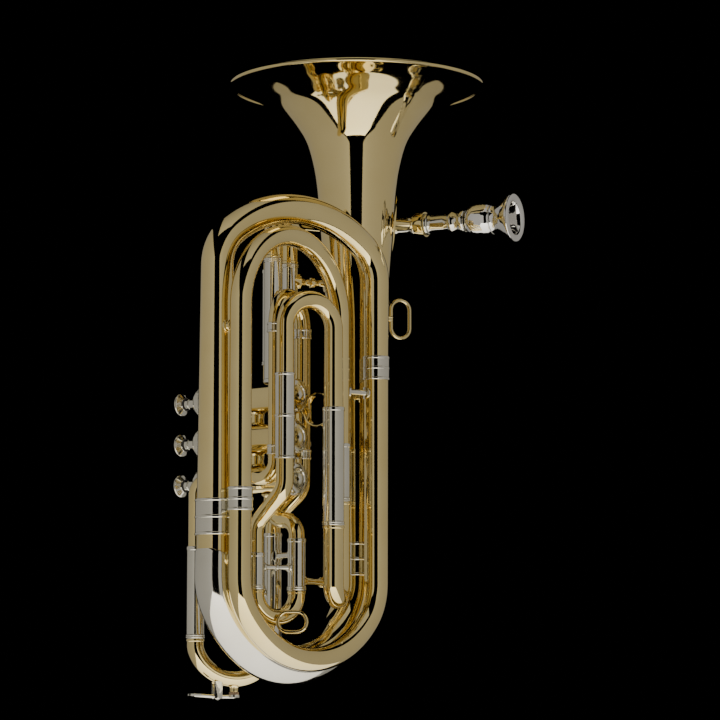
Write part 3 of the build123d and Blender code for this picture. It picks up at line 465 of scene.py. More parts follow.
@dataclass(frozen=True)
class SoftFinish(Finish):
    """Felt, cork or plastic: dull, mottled and slightly rough to the touch."""

    roughness: float
    scale: float
    depth: float

    def _surface(self, tree: Tree, shader: Node, place: Socket
                 ) -> tuple[Socket, Socket, float, float]:
        """Small cells in tone and height.

        Args:
            tree: Tree of the material.
            shader: Its surface shader.
            place: Object coordinates.

        Returns:
            Share of the dark tone, height of the bump, its strength and its depth.
        """
        shader.inputs["Roughness"].default_value = self.roughness
        cells = added(tree, "ShaderNodeTexVoronoi", {"Scale": self.scale}, {"Vector": place})
        return cells.outputs["Distance"], cells.outputs["Distance"], 0.6, self.depth


FINISHES: dict[Slot, Material] = {slot: finish.build() for slot, finish in {
    Slot.BRASS: MetalFinish("lacquered brass", (0.90, 0.735, 0.345), (0.85, 0.68, 0.295), (0.035, 0.075),
                            coat=0.35),
    Slot.NICKEL: MetalFinish("nickel silver", (0.82, 0.79, 0.67), (0.76, 0.73, 0.60), (0.06, 0.13)),
    Slot.SILVER: MetalFinish("silver plate", (0.90, 0.885, 0.84), (0.83, 0.81, 0.755), (0.04, 0.09)),
    Slot.PISTON: MetalFinish("lapped piston alloy", (0.66, 0.645, 0.60), (0.58, 0.56, 0.515), (0.16, 0.26),
                             grain_depth=0.00004),
    Slot.SPRING: MetalFinish("spring wire", (0.48, 0.47, 0.46), (0.38, 0.37, 0.36), (0.2, 0.3)),
    Slot.GUIDE: SoftFinish("guide plastic", (0.82, 0.80, 0.73), (0.74, 0.72, 0.65), 0.45, 900.0, 0.00003),
    Slot.FELT: SoftFinish("pressed felt", (0.09, 0.085, 0.08), (0.025, 0.024, 0.022), 0.95, 2600.0, 0.0002),
    Slot.CORK: SoftFinish("cork", (0.50, 0.34, 0.19), (0.25, 0.15, 0.08), 0.85, 1300.0, 0.0002),
}.items()}


# ---------------------------------------------------------------- mesh making

def placed(name: str, data: bpy.types.ID) -> Object:
    """Put new data in the scene.

    Args:
        name: Name of the object.
        data: Its mesh or camera.

    Returns:
        The object, at the origin.
    """
    thing = bpy.data.objects.new(name, data)
    bpy.context.scene.collection.objects.link(thing)
    return thing


class Shell:
    """Collects surfaces in millimetres and turns them into one piece."""

    def __init__(self) -> None:
        """Start with nothing."""
        self.mesh = bmesh.new()

    def _ring(self, centre: Vector, side: Vector, top: Vector, radius: float, sides: int) -> Ring:
        """Circle of corners; a single corner where the radius is nothing.

        Args:
            centre: Centre of the circle.
            side: Direction of its first corner.
            top: Direction a quarter turn on.
            radius: Radius of the circle.
            sides: Number of corners.

        Returns:
            The corners in order.
        """
        if radius < 1e-6:
            return [self.mesh.verts.new(centre * MM)]
        spots = (centre + around(side, top, 2 * pi * index / sides) * radius for index in range(sides))
        return [self.mesh.verts.new(spot * MM) for spot in spots]

    def bridge(self, first: Ring, last: Ring) -> None:
        """Faces between two rings, or a ring and a pole.

        Args:
            first: Corners of one ring.
            last: Corners of the other.
        """
        count = max(len(first), len(last))
        for index in range(count if count > 1 else 0):
            after = (index + 1) % count
            corners = [first[index % len(first)], first[after % len(first)],
                       last[after % len(last)], last[index % len(last)]]
            self.mesh.faces.new(list(dict.fromkeys(corners)))

    def rings(self, circles: list[Circle], sides: int, closed: bool = True) -> "Shell":
        """Surface through a chain of circles.

        Args:
            circles: Centre, axis direction and radius of each circle.
            sides: Corners in each circle.
            closed: Whether the last circle joins the first.

        Returns:
            This shell.
        """
        heading = circles[0][1]
        side = heading.orthogonal().normalized()
        made = []
        for centre, direction, radius in circles:
            side = heading.rotation_difference(direction) @ side
            side = (side - direction * side.dot(direction)).normalized()
            heading = direction
            made.append(self._ring(centre, side, direction.cross(side), radius, sides))
        for first, last in zip(made, made[1:] + made[:1] if closed else made[1:]):
            self.bridge(first, last)
        return self

    def tube(self, run: Run, radii: Profile, wall: float = WALL, sides: int = 72) -> "Shell":
        """Tube along a run.

        Args:
            run: Stations of the centre line.
            radii: (distance along the run, outer radius) pairs in order.
            wall: Thickness of the wall; 0 makes a solid bar.
            sides: Corners round the tube.

        Returns:
            This shell.
        """
        outer = [(*station, radius_at(radii, gone)) for station, gone in zip(run, distances(run))]
        if wall > 0.0:
            inner = [(*station, radius - wall) for *station, radius in reversed(outer)]
            return self.rings(outer + inner, sides)
        poles = [(*outer[end][:2], 0.0) for end in (0, -1)]
        return self.rings([poles[0], *outer, poles[1]], sides, closed=False)

    def turned(self, start: Vector, axis: Vector, profile: Profile, sides: int = 96, closed: bool = True,
               soft: float = 0.25) -> "Shell":
        """Turned surface.

        Args:
            start: Point on the axis where distances begin.
            axis: Direction of the axis.
            profile: (distance, radius) pairs.
            sides: Corners round the axis.
            closed: True for a ring with a bore, False for a profile whose ends lie on the axis.
            soft: Rounding of the corners.

        Returns:
            This shell.
        """
        direction = axis.normalized()
        shaped = softened(profile, soft, closed) if soft > 0.0 else profile
        circles = [(start + direction * distance, direction, radius) for distance, radius in shaped]
        return self.rings(circles, sides, closed)

    def piece(self, name: str, slot: Slot, *replaces: str, body: str = "horn", sharp: float = 50.0,
              outward: bool = True) -> Object:
        """Finish the piece and fix it to its body.

        Args:
            name: Name of the piece.
            slot: Finish of the piece.
            replaces: CAD nodes it stands for.
            body: CAD body it moves with.
            sharp: Angle above which an edge stays sharp, in degrees.
            outward: Whether the faces need turning outwards.

        Returns:
            The object, at the origin.
        """
        if outward:
            bmesh.ops.recalc_face_normals(self.mesh, faces=self.mesh.faces)
        data = bpy.data.meshes.new(name)
        self.mesh.to_mesh(data)
        self.mesh.free()
        data.shade_smooth()
        data.set_sharp_from_angle(angle=radians(sharp))
        data.materials.append(FINISHES[slot])
        thing = placed(name, data)
        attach(thing, body)
        if replaces:
            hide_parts(*replaces)
        LOG.info("%s: %d faces on %s", name, len(data.polygons), body)
        return thing


class FluteRing:
    """Geometry Nodes tree that sets grip ridges round a cap."""

    sizes = {"Count": "Int", "Radius": "Float", "Length": "Float", "Ridge": "Float", "Finish": "Material"}
    count = 60
    ridge = 0.42
    ridge_sides = 8

    def __init__(self) -> None:
        """Build the tree once."""
        self.tree = bpy.data.node_groups.new("grip flutes", "GeometryNodeTree")
        face = self.tree.interface
        sockets = [face.new_socket(label, in_out="INPUT", socket_type=f"NodeSocket{kind}")
                   for label, kind in self.sizes.items()]
        self.names = [socket.identifier for socket in sockets]
        face.new_socket("Geometry", in_out="OUTPUT", socket_type="NodeSocketGeometry")
        given = self.tree.nodes.new("NodeGroupInput").outputs
        circle = added(self.tree, "GeometryNodeMeshCircle", {},
                       {"Vertices": given["Count"], "Radius": given["Radius"]})
        ridge = added(self.tree, "GeometryNodeMeshCylinder", {"Vertices": self.ridge_sides},
                      {"Radius": given["Ridge"], "Depth": given["Length"]})
        made = added(self.tree, "GeometryNodeInstanceOnPoints", {},
                     {"Points": circle.outputs["Mesh"], "Instance": ridge.outputs["Mesh"]})
        made = added(self.tree, "GeometryNodeRealizeInstances", {}, {"Geometry": made.outputs["Instances"]})
        made = added(self.tree, "GeometryNodeSetMaterial", {},
                     {"Geometry": made.outputs["Geometry"], "Material": given["Finish"]})
        added(self.tree, "NodeGroupOutput", {}, {"Geometry": made.outputs["Geometry"]})

    def made(self, centre: Vector, axis: Vector, radius: float, length: float,
             slot: Slot) -> bpy.types.Mesh:
        """Ridges round an axis as a plain mesh in metres.

        Args:
            centre: Middle of the ring, in millimetres.
            axis: Direction of the ridges.
            radius: Distance of the ridges from the axis, in millimetres.
            length: Length of a ridge, in millimetres.
            slot: Finish of the ridges.

        Returns:
            The mesh, in place.
        """
        holder = placed("flutes", bpy.data.meshes.new("flutes"))
        modifier = holder.modifiers.new("flutes", "NODES")
        modifier.node_group = self.tree
        values = (self.count, radius * MM, length * MM, self.ridge * MM, FINISHES[slot])
        for name, value in zip(self.names, values):
            modifier[name] = value
        bpy.context.view_layer.update()
        graph = bpy.context.evaluated_depsgraph_get()
        mesh = bpy.data.meshes.new_from_object(holder.evaluated_get(graph))
        bpy.data.objects.remove(holder)
        turn = UP.rotation_difference(axis.normalized()).to_matrix().to_4x4()
        mesh.transform(turn)
        mesh.transform(turn.Translation(centre * MM))
        return mesh


FLUTES = FluteRing()


# ---------------------------------------------------------------- bell

@dataclass
class Bell:
    """Flared bell with its rolled rim."""

    diameter: float = 216.0
    sheet: float = 0.8
    bead: float = 1.8
    flat: float = 0.3
    stem_top: float = 163.0
    foot: float = 147.0
    curve_steps: int = 8
    rim_steps: int = 36
    sides: int = 192
    drops: tuple[float, ...] = (8, 15, 22, 32, 43, 52, 71, 90, 126, 165, 193, 225, 269, 319, 369)
    shares: tuple[float, ...] = (0.833, 0.722, 0.625, 0.528, 0.444, 0.394, 0.343, 0.315, 0.287, 0.259, 0.243,
                                 0.231, 0.2185, 0.202, 0.184)

    def outline(self) -> list[Vector]:
        """Smooth outer outline.

        Returns:
            (radius, z) points from the mouth to the foot.
        """
        mouth = self.diameter / 2 - self.bead
        knots = [Vector((mouth, -0.6)), Vector((mouth * 0.972, -2.2))]
        knots += [Vector((share * self.diameter / 2, -drop)) for drop, share in zip(self.drops, self.shares)]
        knots += [Vector((BELL_STEM, height - RIM_HEIGHT)) for height in (self.stem_top, self.foot)]
        points: list[Vector] = []
        for before, start, end, after in zip(knots[:1] + knots, knots, knots[1:], knots[2:] + knots[-1:]):
            points += self._between(before, start, end, after)
        return [*points, knots[-1]]

    def _between(self, before: Vector, start: Vector, end: Vector, after: Vector) -> list[Vector]:
        """Centripetal curve from one knot to the next.

        Args:
            before: Knot before the start.
            start: First knot.
            end: Second knot.
            after: Knot after the end.

        Returns:
            Points from the start up to, not including, the end.
        """
        spans = [max(1e-4, (b - a).length ** 0.5) for a, b in ((before, start), (start, end), (end, after))]
        leave = arrive = (end - start) / spans[1]
        if (start - before).length > 1e-6:
            leave = leave + (start - before) / spans[0] - (end - before) / (spans[0] + spans[1])
        if (after - end).length > 1e-6:
            arrive = arrive + (after - end) / spans[2] - (after - start) / (spans[1] + spans[2])
        points = []
        for share in (step / self.curve_steps for step in range(self.curve_steps)):
            square, cube = share ** 2, share ** 3
            points.append(start * (2 * cube - 3 * square + 1) + end * (3 * square - 2 * cube)
                          + leave * (spans[1] * (cube - 2 * square + share))
                          + arrive * (spans[1] * (cube - square)))
        return points

    def build(self) -> None:
        """Make the bell and its rim bead."""
        outer = self.outline()
        inner = []
        for before, point, after in zip(outer[:1] + outer, outer, outer[1:] + outer[-1:]):
            run = after - before
            inner.append(point + Vector((run.y, -run.x)).normalized() * self.sheet)
        profile = [(point.y, point.x) for point in outer + inner[::-1]]
        centre = self.diameter / 2 - self.bead
        drop = self.bead - self.flat
        edge = asin(drop / self.bead)
        rim: Profile = []
        for step in range(self.rim_steps + 1):
            turn = edge - (pi + 2 * edge) * step / self.rim_steps
            rim.append((self.bead * sin(turn) - drop, centre + self.bead * cos(turn)))
        for name, node, ring in (("bell_body", "bell", profile), ("bell_rim", "bell_rim_bead", rim)):
            shell = Shell().turned(Vector((0, 0, 0)), UP, ring, self.sides, soft=0.0)
            shell.piece(name, Slot.BRASS, node, sharp=60.0)


# ---------------------------------------------------------------- conical tube

@dataclass
class ConicalTube:
    """The widening branches and bows, their ferrules and the bow guard."""

    large_tangent: float = 130.0
    large_rise: float = 68.0
    large_lead: float = 14.0
    large_tail: float = 16.0
    first_joint: float = 174.0
    first_radius: float = 15.0
    second_joint: float = 304.0
    second_radius: float = 10.3
    third_joint: float = 187.0
    third_radius: float = 9.0
    feed_radius: float = 7.1
    guard_top: float = 104.0
    guard_rise: float = 150.0
    guard_skin: float = 1.1
    guard_gap: float = 0.08
    guard_round: float = 16.0
    guard_columns: int = 48

    def build(self) -> None:
        """Make the bows, ferrules and guard."""
        self._bow("large_bow", self.large_run(), BELL_STEM, self.first_radius, self.large_lead, self.large_tail,
                  "large_bottom_bow")
        for name, feet, starts, tangent, shape, radii, ends, node in (
                ("first_branch_tube", (TUBE_1, TUBE_R), (self.first_joint, self.second_joint), 375.0,
                 (53.0, 38.0, 1.0), (self.first_radius, self.second_radius), (16.0, 12.0), "first_branch"),
                ("second_bow", (TUBE_R, TUBE_2), (self.second_joint, self.third_joint), 127.0,
                 (63.0, 48.0, -1.0), (self.second_radius, self.third_radius), (12.0, 11.0), "second_bottom_bow"),
                ("second_branch_tube", (TUBE_2, TUBE_T2), (self.third_joint, 231.0), 341.0,
                 (61.6, 50.0, 1.0), (self.third_radius, MAIN_BORE), (11.0, 19.0), "second_branch")):
            left, right = (at(foot, tangent) for foot in feet)
            run = joined(straight(at(feet[0], starts[0]), left), arch_run(left, right, *shape),
                         straight(right, at(feet[1], starts[1])))
            self._bow(name, run, *radii, *ends, node)
        self._third_branch()
        for name, plan, low, high, bore, wall, bead, node in (
                ("bell_joint_ferrule", BELL_AXIS, 135.0, 162.5, 18.65, 0.9, 0.6, "bell_ferrule"),
                ("first_joint_ferrule", TUBE_1, 160.0, 188.6, 15.05, 1.1, 0.6, "large_ferrule"),
                ("second_joint_ferrule", TUBE_R, 294.0, 313.6, 10.35, 0.7, 0.4, "second_ferrule"),
                ("third_joint_ferrule", TUBE_2, 178.0, 196.6, 9.05, 0.9, 0.6, "third_ferrule")):
            profile = banded(high - low, bore, wall, bead, 3)
            Shell().turned(at(plan, low), UP, profile, soft=0.12).piece(name, Slot.NICKEL, node)
        self._guard()

    def large_run(self) -> Run:
        """Centre line of the large bottom bow.

        Returns:
            Stations from the bell to the first joint.
        """
        left, right = at(BELL_AXIS, self.large_tangent), at(TUBE_1, self.large_tangent)
        return joined(straight(at(BELL_AXIS, 147.0), left), arch_run(left, right, self.large_rise, 45.0, -1.0),
                      straight(right, at(TUBE_1, self.first_joint)))

    @staticmethod
    def _bow(name: str, run: Run, first: float, last: float, lead: float, tail: float, node: str) -> None:
        """Tube that tapers between a plain lead and a plain tail.

        Args:
            name: Name of the piece.
            run: Its centre line.
            first: Radius of the lead.
            last: Radius of the tail.
            lead: Length of the lead.
            tail: Length of the tail.
            node: CAD node it stands for.
        """
        total = distances(run)[-1]
        radii = [(0.0, first), (lead, first), (total - tail, last), (total, last)]
        Shell().tube(divided(run), radii).piece(name, Slot.BRASS, node)

    def _third_branch(self) -> None:
        """Narrow arch that feeds the tuning slide."""
        left, right = at(TUBE_T1, 330.0), at(TUBE_B, 330.0)
        fall = corner_run([right, at(TUBE_B, 199.0), at(TUBE_D1, 172.0), at(TUBE_D1, 143.0)], [20.0, 18.0])
        run = joined(straight(at(TUBE_T1, 240.0), left), arch_run(left, right, 40.0, 22.0), fall)
        total = distances(run)[-1]
        radii = [(0, MAIN_BORE), (28, MAIN_BORE), (160, self.feed_radius), (total - 62, self.feed_radius),
                 (total - 30, TUBE), (total, TUBE)]
        Shell().tube(divided(run), radii).piece("third_branch_tube", Slot.BRASS, "third_branch")

    def _guard(self) -> None:
        """Nickel plate over the outer half of the large bow, with rounded ends."""
        across = (at(TUBE_1, 0) - at(BELL_AXIS, 0)).normalized()
        normal = across.cross(UP).normalized()
        centre = (at(TUBE_1, self.large_tangent) + at(BELL_AXIS, self.large_tangent)) / 2
        stations = self._guarded()
        first, last = stations[0][2], stations[-1][2]
        columns = self.guard_columns
        shell = Shell()
        made: list[Ring] = []
        for point, heading, gone, tube in stations:
            out = heading.cross(normal).normalized()
            if out.dot(point - centre) < 0:
                out = -out
            near = min(gone - first, last - gone)
            reach = sqrt(max(0.0, 1 - max(0.0, 1 - near / self.guard_round) ** 2))
            half = radians(90.0) * (0.35 + 0.65 * reach)
            angles = [-half + 2 * half * column / columns for column in range(columns + 1)]
            skin = [(angle, tube + self.guard_skin * (1.0 - 0.5 * (abs(angle) / half) ** 30))
                    for angle in angles]
            lining = [(angle, tube + self.guard_gap) for angle in reversed(angles)]
            made.append([shell.mesh.verts.new((point + around(out, normal, angle) * arm) * MM)
                         for angle, arm in skin + lining])
        for before, after in zip(made, made[1:]):
            shell.bridge(before, after)
        for ring in (made[0], made[-1]):
            for column in range(columns):
                shell.mesh.faces.new([ring[column], ring[column + 1], ring[-2 - column], ring[-1 - column]])
        shell.piece("guard_plate", Slot.NICKEL, "bow_guard")

    def _guarded(self) -> list[tuple[Vector, Vector, float, float]]:
        """Stations under the guard.

        Returns:
            Point, direction, distance along the bow and tube radius of each station.
        """
        run = divided(self.large_run(), 2.0)
        lengths = distances(run)
        radii = [(0.0, BELL_STEM), (self.large_lead, BELL_STEM), (lengths[-1] - self.large_tail, self.first_radius),
                 (lengths[-1], self.first_radius)]
        middle = (BELL_AXIS[0] + TUBE_1[0]) / 2
        kept = []
        for (point, heading), gone in zip(run, lengths):
            top = self.guard_top if point.x > middle else self.guard_rise
            if point.z < top - RIM_HEIGHT:
                kept.append((point, heading, gone, radius_at(radii, gone)))
        return kept


# ---------------------------------------------------------------- slides

@dataclass
class PullSlide:
    """A slide: two fixed sleeves joined by a brace, and a moving bow on two legs."""

    name: str
    feet: tuple[Vector, ...]
    lips: tuple[Vector, ...]
    tangents: tuple[Vector, ...]
    legs: tuple[Vector, ...]
    brace: tuple[Vector, ...]
    bow: Run
    radius: float = TUBE
    step: float = 0.5
    gap: float = 0.4
    nozzle: Vector = field(default_factory=Vector)

    @classmethod
    def upright(cls, name: str, plans: tuple[Plan, Plan], feet: tuple[float, float], lips: tuple[float, float],
                heights: tuple[float, float, float], shape: tuple[float, float, float] = (40.0, 12.0, -1.0),
                radius: float = TUBE) -> "PullSlide":
        """Slide whose two legs stand upright.

        Args:
            name: Name of the slide, its body and its joint.
            plans: Plan positions of the legs.
            feet: Heights of the sleeves' fixed ends.
            lips: Heights of the sleeves' open ends.
            heights: Heights where the bow begins, of the legs' ends and of the brace.
            shape: Rise, end radius and direction of the bow.
            radius: Outer radius of the legs.

        Returns:
            The slide.
        """
        tangents, legs, brace = (tuple(at(plan, height) for plan in plans) for height in heights)
        ends = (tuple(at(plan, height) for plan, height in zip(plans, pair)) for pair in (feet, lips))
        return cls(name, *ends, tangents, legs, brace, arch_run(*tangents, *shape), radius)

    def build(self) -> None:
        """Make the sleeves, the bow and its legs."""
        bore = self.radius + 0.05
        shell = Shell()
        for foot, lip in zip(self.feet, self.lips):
            shell.turned(lip, foot - lip, sleeve_profile((foot - lip).length, bore), soft=0.12)
        self._brace(shell, bore + 0.75)
        shell.piece(f"{self.name}_sleeve_pair", Slot.NICKEL, f"{self.name}_sleeves")
        ways = [(tangent - lip).normalized() for tangent, lip in zip(self.tangents, self.lips)]
        starts = [lip + way * self.gap for lip, way in zip(self.lips, ways)]
        run = joined(straight(starts[0], self.tangents[0]), self.bow, straight(self.tangents[1], starts[1]))
        size = self.radius + self.step
        shell = Shell().tube(divided(run), [(0.0, size)], wall=WALL + self.step)
        for start, way in zip(starts, ways):
            shell.turned(start, way, [(0, size - 0.2), (0, size + 0.3), (0.6, size + 0.55), (1.8, size + 0.55),
                                      (2.4, size + 0.1), (2.4, size - 0.2)], soft=0.1)
        self._extra(shell)
        shell.piece(f"{self.name}_bow", Slot.BRASS, f"{self.name}_crook", body=self.name)
        shell = Shell()
        for leg, tangent in zip(self.legs, self.tangents):
            shell.tube(straight(leg, tangent), [(0.0, self.radius)])
        shell.piece(f"{self.name}_legs", Slot.NICKEL, body=self.name)

    def _brace(self, shell: Shell, skin: float) -> None:
        """Turned brace between the sleeves.

        Args:
            shell: Shell to add it to.
            skin: Outer radius of the sleeves.
        """
        run = self.brace[1] - self.brace[0]
        length = run.length
        half = [(skin - 0.6, 0), (skin - 0.6, 3.8), (skin + 0.9, 3.6), (skin + 1.6, 2.2),
                (length / 2 - 1.6, 1.7), (length / 2 - 1.0, 2.7)]
        shell.turned(self.brace[0], run, half + [(length - spot, size) for spot, size in reversed(half)],
                     sides=32, closed=False, soft=0.3)

    def _extra(self, shell: Shell) -> None:
        """Parts soldered to the bow; none on a plain slide."""


class RingSlide(PullSlide):
    """Slide with an oval finger ring."""

    def _extra(self, shell: Shell) -> None:
        """Ring and its short post.

        Args:
            shell: Shell of the bow.
        """
        wide = Vector((0.788, -0.616, 0.0))
        shell.rings(oval_loop(at((-96.1, -39.9), 94.0), wide, UP, 23.0, 16.0, 1.5), 20)
        shell.tube(straight(at((-96.1, -31.4), 100.2), at((-96.1, -39.9), 101.8)), [(0.0, 1.9), (5.0, 1.6)],
                   wall=0.0, sides=24)


class DrainSlide(PullSlide):
    """Slide with a drain nozzle under its bow."""

    def _extra(self, shell: Shell) -> None:
        """Nozzle with a rolled lip.

        Args:
            shell: Shell of the bow.
        """
        shell.turned(self.nozzle, -UP, [(5.6, 1.9), (5.6, 4.6), (6.8, 4.2), (7.6, 3.4), (10.2, 3.3), (10.8, 3.4),
                                        (11.0, 2.9), (11.0, 1.9)], sides=40, soft=0.15)


def oval_loop(centre: Vector, wide: Vector, tall: Vector, width: float, height: float,
              wire: float) -> list[Circle]:
    """Circles round a ring of wire with two straight sides and two round ends.

    Args:
        centre: Middle of the ring.
        wide: Direction of its width.
        tall: Direction of its height.
        width: Width of the wire's centre line, no less than its height.
        height: Height of the wire's centre line.
        wire: Radius of the wire.

    Returns:
        Centre, direction and radius of each circle.
    """
    radius = height / 2
    flat = width / 2 - radius
    circles = []
    for end, first in ((1, -90), (-1, 90)):
        for angle in (radians(first + 7.5 * step) for step in range(25)):
            spot = centre + wide * (end * flat) + around(wide, tall, angle) * radius
            circles.append((spot, around(tall, -wide, angle).normalized(), wire))
    return circles


class Slides:
    """All five pull slides."""

    def build(self) -> None:
        """Make the slides in order along the air's way."""
        PullSlide.upright("main_slide", (TUBE_T2, TUBE_T1), (239.6, 267.0), (192.6, 171.6),
                          (126.0, 229.0, 218.0), radius=MAIN_BORE).build()
        RingSlide.upright("return_slide", (TUBE_D1, TUBE_E), (149.0, 161.7), (120.0, 120.0),
                          (117.0, 139.0, 138.0)).build()
        plans = (plan_of(in_valve(0, 27.0)), plan_of(in_valve(0, 36.0, 32.6)))
        PullSlide.upright("first_slide", plans, (289.5, 296.0), (392.0, 392.0), (405.0, 330.0, 362.0),
                          (40.0, 12.0, 1.0)).build()
        self._second().build()
        third = DrainSlide.upright("third_slide", (LEG_D, LEG_G), (168.0, 156.0), (82.0, 82.0),
                                   (77.0, 146.0, 120.0), (27.0, 16.0, -1.0))
        third.nozzle = at(((LEG_D[0] + LEG_G[0]) / 2, (LEG_D[1] + LEG_G[1]) / 2), 50.0)
        third.build()

    @staticmethod
    def _second() -> PullSlide:
        """Second valve slide, short and level.

        Returns:
            The slide.
        """
        feet, lips, tangents, legs, brace = (tuple(in_valve(1, along, side) for along in (32.0, 58.0))
                                             for side in (11.6, 38.0, 43.0, 14.5, 27.0))
        bow = arc_run(tangents[0], (tangents[0] + tangents[1]) / 2, VALVE_SIDE, pi)
        return PullSlide("second_slide", feet, lips, tangents, legs, brace, bow)


# ---------------------------------------------------------------- valves and their tubing

@dataclass
class ValveBlock:
    """Three casings with their caps, buttons, felts and knuckles."""

    cap_radius: float = 13.2
    cap_bore: float = 12.55
    casing_radius: float = 12.5
    casing_bore: float = 11.25
    button_radius: float = 9.5

    def build(self) -> None:
        """Make the block."""
        bottoms, tops, knuckles = Shell(), Shell(), Shell()
        for valve, name in enumerate(VALVE_NAMES):
            self._casing(valve, name)
            self._button(valve, name)
            self._caps(valve, bottoms, tops)
        bottoms.piece("bottom_cap_set", Slot.NICKEL, "bottom_caps")
        tops.piece("top_cap_set", Slot.NICKEL, "top_caps")
        for valve in (0, 1):
            knuckles.turned(in_valve(valve, 44.0, 0.0, -11.9), -UP, [
                (0, 5.7), (0, 8.2), (1.4, 6.8), (5.0, 6.3), (8.6, 6.8), (10.2, 8.2), (10.2, 5.7)],
                sides=56, soft=0.4)
        knuckles.piece("knuckle_pair", Slot.BRASS, "valve_knuckles")

    def _casing(self, valve: int, name: str) -> None:
        """Casing with its two turned bands.

        Args:
            valve: Number of the valve.
            name: Its name.
        """
        skin, bore = self.casing_radius, self.casing_bore
        band = skin + 0.6
        profile = [(2.1, bore), (2.1, skin), (10.0, skin), (10.4, band), (12.2, band), (12.6, skin), (89.8, skin),
                   (90.2, band), (92.0, band), (92.4, skin), (100.0, skin), (100.0, bore)]
        Shell().turned(in_valve(valve, 0.0), VALVE_AXIS, profile, soft=0.15).piece(
            f"{name}_casing_tube", Slot.BRASS, f"{name}_casing")

    def _caps(self, valve: int, bottoms: Shell, tops: Shell) -> None:
        """Screw caps with grip flutes and a dished end.

        Args:
            valve: Number of the valve.
            bottoms: Shell of the bottom caps.
            tops: Shell of the top caps.
        """
        wide, bore = self.cap_radius, self.cap_bore
        bottoms.turned(in_valve(valve, 0.0), VALVE_AXIS, [
            (2.0, 1.6), (0.8, 1.6), (0.8, 7.6), (0.0, 8.4), (0.0, 11.6), (0.6, wide - 0.3), (1.2, wide),
            (5.6, wide), (6.2, wide - 0.35), (8.6, wide - 0.2), (9.5, wide - 0.5), (9.5, bore), (2.0, bore)])
        tops.turned(in_valve(valve, 0.0), VALVE_AXIS, [
            (100.2, bore), (93.0, bore), (93.0, wide - 0.4), (94.0, wide), (95.2, wide - 0.3), (95.6, wide),
            (99.6, wide), (100.4, wide - 0.3), (102.0, wide - 1.2), (103.0, wide - 3.0), (103.0, 8.8),
            (102.0, 8.2), (102.0, 4.7), (100.2, 4.7)])
        for shell, along, length in ((bottoms, 3.4, 3.6), (tops, 97.6, 3.2)):
            ridges = FLUTES.made(in_valve(valve, along), VALVE_AXIS, wide - 0.12, length, Slot.NICKEL)
            shell.mesh.from_mesh(ridges)

    def _button(self, valve: int, name: str) -> None:
        """Finger button on its stem, with the felt under it.

        Args:
            valve: Number of the valve.
            name: Its name.
        """
        wide = self.button_radius
        foot = in_valve(valve, 0.0)
        body = f"{name}_piston_body"
        Shell().turned(foot, VALVE_AXIS, [
            (97.0, 0), (97.0, 2.4), (98.0, 3.0), (105.0, 3.0), (105.6, 4.4), (113.4, 4.4), (113.8, 4.0),
            (114.4, 4.0), (114.8, 4.4), (119.8, 4.4), (120.6, 5.0), (122.4, wide - 1.6), (123.2, wide - 0.3),
            (123.7, wide), (124.3, wide - 0.1), (124.8, wide - 0.6), (125.0, wide - 1.3), (124.6, wide - 2.2),
            (124.5, wide - 3.0), (124.1, wide - 5.0), (123.9, 0)], sides=72, closed=False, soft=0.3).piece(
            f"{name}_finger_button", Slot.NICKEL, f"{name}_button", body=body)
        Shell().turned(foot, VALVE_AXIS, [
            (118.4, 4.3), (118.4, 5.3), (119.0, 5.5), (119.7, 5.2), (119.7, 4.3)], sides=48, soft=0.2).piece(
            f"{name}_felt_ring", Slot.FELT, f"{name}_button_felt", body=body, sharp=60.0)


